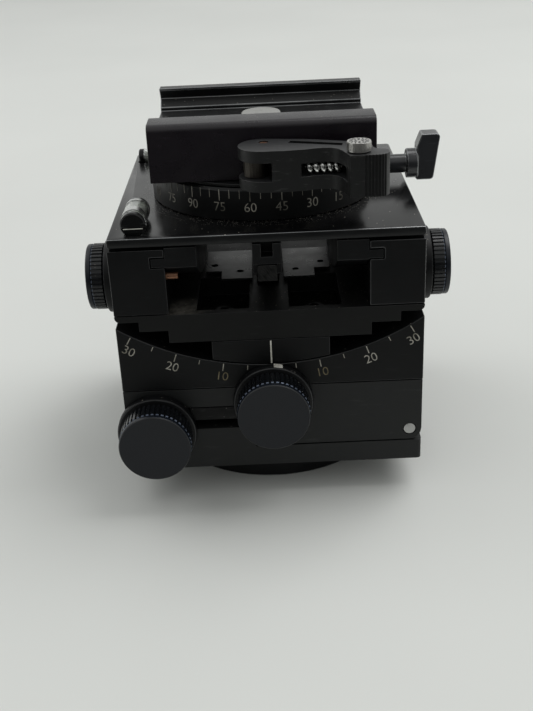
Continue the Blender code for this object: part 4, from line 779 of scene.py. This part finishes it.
def cradle():
    dressed("cradle_floor", "cradle", "black_anodised", floor_black, width=0.25 * MM)
    for side in ("left", "right"):
        dressed(f"side_block_{side}", "cradle", "black_anodised", satin_black, block_edge_and_highlight, 0.3 * MM)
        dressed(f"gear_cover_{side}", "cradle", "dark_plastic", cover_plastic, cover_plastic, 0.15 * MM)
    for side in ("front", "rear"):
        dressed(f"pointer_plate_{side}", "cradle", "black_anodised", wall_black, width=0.15 * MM)
        sign = -1 if side == "front" else 1
        line = block(f"pointer_line_{side}", (0.4 * MM, PAINT, 7.0 * MM),
                     (0, sign * (42.2 * MM + LIFT), 45.9 * MM))
        line.data.materials.append(line_white)
        riding(line, "cradle", "black_anodised")
    carried(satin_black, "roll_rail_front", "roll_rail_rear")
    carried(gear_brass, "roll_rack_front", "roll_rack_rear")
    carried(copper, "travel_stop_pin")
    screw = socket_screw(2.6 * MM, 2.4 * MM, 0.2 * MM, 2.4 * MM, 1.3 * MM)
    screws = repeated("cradle_floor_screws", on_grid, screw, along("Z", (0, 0, 55.5 * MM)), {
        "Width": 25.5 * MM, "Depth": 66 * MM, "Across": 2, "Along": 2,
        "Finish": screw_steel, "Tip finish": screw_steel})
    riding(screws, "cradle", "bright_steel")


def pitch_drive():
    carried(bright_steel, "pitch_shaft")
    carried(gear_brass, "pitch_pinion")
    for axis, side in (("-X", "left"), ("X", "right")):
        centre = (0, 0, PITCH_SHAFT_Z)
        ring(f"pitch_ring_{side}", f"pitch_ring_{side}", axis, centre, SIDE_RING)
        ribbed_knob(f"pitch_knob_{side}", "pitch_drive", axis, centre, SIDE_KNOB)


# Top plate, drum and vials

def top_plate():
    dressed("top_plate", "top", "black_anodised", plate_black, plate_edge_highlight, 0.2 * MM, 40, upright=plate_side)
    dressed("pitch_rack", "top", "black_anodised", satin_black, worn_edge_and_highlight, 0.12 * MM, 40)
    dressed("stop_tab", "top", "bright_steel", dark_steel, dark_steel, 0.4 * MM, 34, 3)
    for side in ("left", "right"):
        dressed(f"top_rail_{side}", "top", "black_anodised", satin_black, width=0.2 * MM)
    pan_drum()
    vial("vial", "-Y", -35.2 * MM, 83.6 * MM, 3.4 * MM, 39.8 * MM, 25.3 * MM, band_silver)
    vial("cross_vial", "-X", 34.2 * MM, 82.2 * MM, 2.6 * MM, 40.7 * MM, 26.2 * MM, cap_plastic)


def pan_drum():
    dressed("pan_drum", "top", "black_anodised", drum_black, worn_edge_and_highlight, 0.2 * MM, 40)
    parts = []
    step = 15
    offset = radians(-0.45 * step)
    high, digits_z = 89.7 * MM, 84.75 * MM
    long_tick, short_tick = (86.6 * MM, 0.2 * MM), (87.3 * MM, 0.15 * MM)
    for first, (low, width) in ((0, long_tick), (5, short_tick), (10, short_tick)):
        bar = block("tick", (width, PAINT, high - low), (0, -DRUM_R - LIFT, (low + high) / 2))
        parts.append(turned_copies(
            "ticks", bar, Matrix.Identity(4), 24, radians(step), drum_paint, offset + radians(first)))
    for k in range(24):
        m = (k - 4) % 12
        value = step * m if m <= 6 else step * (12 - m)
        text = lettering("number", str(value), 3.7 * MM, drum_paint)
        base = offset + radians(step * k)
        for v in text.data.vertices:
            angle = base + v.co.x / DRUM_R
            reach = DRUM_R + LIFT + v.co.z
            v.co = (reach * sin(angle), -reach * cos(angle), digits_z + v.co.y)
        parts.append(text)
    riding(joined("drum_scale", parts), "top", "black_anodised")


def vial(name, axis, side, height, radius, far, near, band):
    """A glass tube with its liquid, its two bands and a gloss cap, with a painted highlight line low on the
    cap's end.
    """
    centre = (side, 0, height) if axis == "-Y" else (0, side, height)
    place = along(axis, centre)
    cap_in = far - 1.6 * MM
    tube_out = cap_in - 0.3 * MM
    cap = lathe(f"{name}_cap_turned", [
        (0, cap_in, 0), (radius, cap_in, 0), (radius, far - 0.35 * MM, 0),
        (radius - 0.35 * MM, far, 0), (0, far, 0)], 48, place, cap_plastic)
    riding(cap, "top", "dark_plastic", f"{name}_cap")
    bore = radius - 0.7 * MM
    tube = lathe(f"{name}_glass", [
        (0, near, 0), (radius - 0.3 * MM, near, 0), (radius, near + 0.3 * MM, 0), (radius, tube_out, 0),
        (bore, tube_out, 0), (bore, near + 0.7 * MM, 0), (0, near + 0.7 * MM, 0)], 48, place, glass)
    riding(tube, "top", "clear_vial", f"{name}_tube")
    full = bore - 0.06 * MM
    fill = lathe(f"{name}_liquid", [
        (0, near + 0.8 * MM, 0), (full, near + 0.8 * MM, 0), (full, tube_out - 0.1 * MM, 0),
        (0, tube_out - 0.1 * MM, 0)], 48, place, vial_white)
    riding(fill, "top", "clear_vial")
    bands = []
    for start, width in ((tube_out - 4.2 * MM, 2.8 * MM), (near + 1.8 * MM, 1.0 * MM)):
        bands.append(lathe("band", [
            (radius - 0.02 * MM, start, 0), (radius + 0.08 * MM, start, 0),
            (radius + 0.08 * MM, start + width, 0), (radius - 0.02 * MM, start + width, 0)],
            48, place, band))
    # Painted highlight: a white line across the lower part of the cap's end face.
    line = block("slot", (1.55 * radius, 0.22 * MM, PAINT), (0, -0.27 * radius, far + PAINT / 2))
    line.data.materials.append(line_white)
    line.data.transform(place)
    riding(joined(f"{name}_bands", bands + [line]), "top", "bright_steel")


# Rotor, clamp and lever

def rotor_and_clamp():
    dressed("pan_rotor", "clamp", "black_anodised", drum_black, worn_edge_and_highlight, 0.12 * MM, 40)
    mark = block("rotor_index", (0.4 * MM, PAINT, 0.62 * MM), (0, -32 * MM - LIFT, 90.65 * MM))
    mark.data.transform(Matrix.Rotation(radians(53.25), 4, "Z"))
    mark.data.materials.append(line_white)
    riding(mark, "clamp", "black_anodised")
    dressed("clamp_base", "clamp", "black_anodised", clamp_black, painted_highlight_edge, 0.22 * MM)
    dressed("front_jaw", "jaw", "purple_black", jaw_purple, worn_edge_and_highlight, 0.3 * MM, 28, 3)
    carried(bright_steel, "guide_pin_left", "guide_pin_right", "lever_pin")
    carried(eye_steel, "tie_bolt")
    top, length, chamfer = 103.2 * MM, 19.8 * MM, 0.3 * MM
    head_r, head_h, shank_r = 5.7 * MM, 4.5 * MM, 3 * MM
    screw = lathe("clamp_screw_turned", [
        (0, top - length, 1), (shank_r, top - length, 1), (shank_r, top - head_h, 1),
        (head_r, top - head_h, 0), (head_r, top - chamfer, 0), (head_r - chamfer, top, 0),
        (0, top, 0)], 72, Matrix.Identity(4), floor_screw, bright_steel)
    riding(screw, "clamp", "bright_steel", "clamp_centre_screw")


def pan_lock():
    dressed("pan_lock_screw", "pan_lock", "black_anodised", wing_black, plate_edge_highlight, 0.3 * MM, 50, 3,
            held=False)


def lever():
    dressed("clamp_lever", "lever", "dark_plastic", lever_top_lit, lever_edge_highlight, 0.35 * MM, 40, 3, lever_plastic)
    carried(copper, "safety_anchor_pin")
    x_low, length, wire = 10.4 * MM, 10.5 * MM, 0.72 * MM
    turns, steps, reach = 5, 32, 1.1 * MM
    low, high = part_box("safety_spring")
    y, z = -38.45 * MM, low.z / 2 + high.z / 2
    coil = bpy.data.curves.new("lever_spring", "CURVE")
    coil.dimensions = "3D"
    coil.bevel_depth = wire
    coil.bevel_resolution = 4
    coil.use_fill_caps = True
    spline = coil.splines.new("POLY")
    spline.points.add(turns * steps)
    for i in range(turns * steps + 1):
        angle = 2 * pi * i / steps
        x = x_low + wire + (length - 2 * wire) * i / (turns * steps)
        spline.points[i].co = (x, y + reach * cos(angle), z + reach * sin(angle), 1)
    coil.materials.append(spring_steel)
    spring = smoothed(baked(link(bpy.data.objects.new("lever_spring", coil))), 60)
    riding(spring, "lever", "bright_steel", "safety_spring")


def safety_button():
    """The button's knurled rim, and the raised strokes on its top."""
    dressed("safety_button", "safety", "bright_steel", knurled_steel, bright_steel, 0.22 * MM, 50)
    place = along("Z", (24.4 * MM, -45.2 * MM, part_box("safety_button")[1].z))
    bar = block("knurl", (0.26 * MM, 0.12 * MM, 1.8 * MM), (0, -3.07 * MM, -1.2 * MM))
    parts = [turned_copies("knurls", bar, place, 40, 2 * pi / 40, knurled_steel)]
    for reach, length, count, turn in ((2.15, 1.0, 12, 0.5), (1.05, 0.8, 6, -0.6)):
        stroke = block("stroke", (0.3 * MM, length * MM, 0.1 * MM), (0, 0, 0))
        stroke.data.transform(Matrix.Rotation(turn, 4, "Z"))
        stroke.data.transform(Matrix.Translation((0, -reach * MM, 0.0)))
        parts.append(turned_copies("strokes", stroke, place, count, 2 * pi / count, screw_steel))
    riding(joined("button_knurls", parts), "safety", "bright_steel")


# Stage, light and camera

def floor():
    """A pale floor that the black faces see darker in front of the object."""
    mesh = bpy.data.meshes.new("studio_floor")
    reach = 6.0
    mesh.from_pydata([(-reach, -reach, 0), (reach, -reach, 0), (reach, reach, 0), (-reach, reach, 0)],
                     [], [(0, 1, 2, 3)])
    finish, tree, shader = new_finish("pale_studio_floor")
    place = millimetres(tree)
    soft = cloud(tree, place, 160, 0.3, 0.7, 3)
    pale = tinted(tree, soft, (0.68, 0.692, 0.668), (0.71, 0.722, 0.698))
    # Painted shade in reflections: for glossy rays alone, the floor turns dark grey from 125 mm in front,
    # fully by 225 mm.
    reflected = tree.nodes.new("ShaderNodeLightPath").outputs["Is Glossy Ray"]
    near, far = -125, -225
    ahead = rising(tree, add(tree, "SeparateXYZ", {0: place}).outputs["Y"], near, far)
    seen = tinted(tree, times(tree, reflected, ahead), pale, (0.06, 0.061, 0.06))
    tree.links.new(seen, shader.inputs["Base Color"])
    tree.links.new(between(tree, soft, 0.5, 0.6), shader.inputs["Roughness"])
    shader.inputs["Specular IOR Level"].default_value = 0.2
    mesh.materials.append(finish)
    plane = link(bpy.data.objects.new("studio_floor", mesh))


def studio_light():
    """Soft light from behind and above, and in reflections a darker room on the camera's side."""
    scene = bpy.context.scene
    world = bpy.data.worlds.new("studio")
    scene.world = world
    world.use_nodes = True
    tree = world.node_tree
    tree.nodes.clear()
    out = tree.nodes.new("ShaderNodeOutputWorld")
    path = tree.nodes.new("ShaderNodeLightPath")
    seen = most(tree, path.outputs["Is Camera Ray"], path.outputs["Is Glossy Ray"])
    seen = most(tree, seen, path.outputs["Is Transmission Ray"])
    direction = add(tree, "SeparateXYZ", {0: add(tree, "TexCoord").outputs["Generated"]}).outputs
    front = rising(tree, direction["Y"], -0.1, -0.75)
    low = rising(tree, direction["Z"], 0.75, 0.25)
    share = between(tree, path.outputs["Is Glossy Ray"], 0.08, 1)
    share = times(tree, share, between(tree, path.outputs["Is Camera Ray"], 1, 0))
    shade = times(tree, times(tree, front, low), share)
    strength = times(tree, between(tree, seen, 0.53, 0.66), between(tree, shade, 1, 0.08))
    back = add(tree, "Background", {"Color": (0.985, 1.0, 0.985, 1), "Strength": strength})
    tree.links.new(back.outputs[0], out.inputs[0])
    for name, place, size, power in (
            ("key_softbox", (0.85, 0.35, 1.6), 1.3, 16.0), ("left_softbox", (-0.9, 0.35, 1.1), 0.9, 3.0)):
        lamp = bpy.data.lights.new(name, "AREA")
        lamp.shape = "SQUARE"
        lamp.size = size
        lamp.energy = power
        holder = link(bpy.data.objects.new(name, lamp))
        holder.location = place
        aim = Vector((0, 0, 0.05)) - Vector(place)
        holder.rotation_euler = aim.to_track_quat("-Z", "Y").to_euler()


def camera():
    """The photograph's view, solved from its straight edges: angles in radians, place in metres."""
    scene = bpy.context.scene
    yaw, pitch, roll = -0.009128, 0.456846, -0.047644
    place = (0.0010044, -0.3007333, 0.1719087)
    focal_pixels, tall_pixels, sensor = 1032.5632, 711, 36
    forward = Vector((sin(yaw) * cos(pitch), cos(yaw) * cos(pitch), -sin(pitch)))
    right = Vector((cos(yaw), -sin(yaw), 0))
    up = right.cross(forward)
    across = right * cos(roll) + up * sin(roll)
    upward = up * cos(roll) - right * sin(roll)
    data = bpy.data.cameras.new("photo_camera")
    data.sensor_fit = "AUTO"
    data.sensor_width = sensor
    data.lens = focal_pixels / tall_pixels * sensor
    data.clip_start = 0.01
    data.clip_end = 20
    holder = link(bpy.data.objects.new("photo_camera", data))
    holder.matrix_world = Matrix((
        (across.x, upward.x, -forward.x, place[0]),
        (across.y, upward.y, -forward.y, place[1]),
        (across.z, upward.z, -forward.z, place[2]),
        (0, 0, 0, 1)))
    scene.camera = holder
    scene.view_settings.view_transform = "Standard"


base_and_foot()
flip_lock()
lower_block()
roll_drive()
cradle()
pitch_drive()
top_plate()
rotor_and_clamp()
pan_lock()
lever()
safety_button()
floor()
studio_light()
camera()
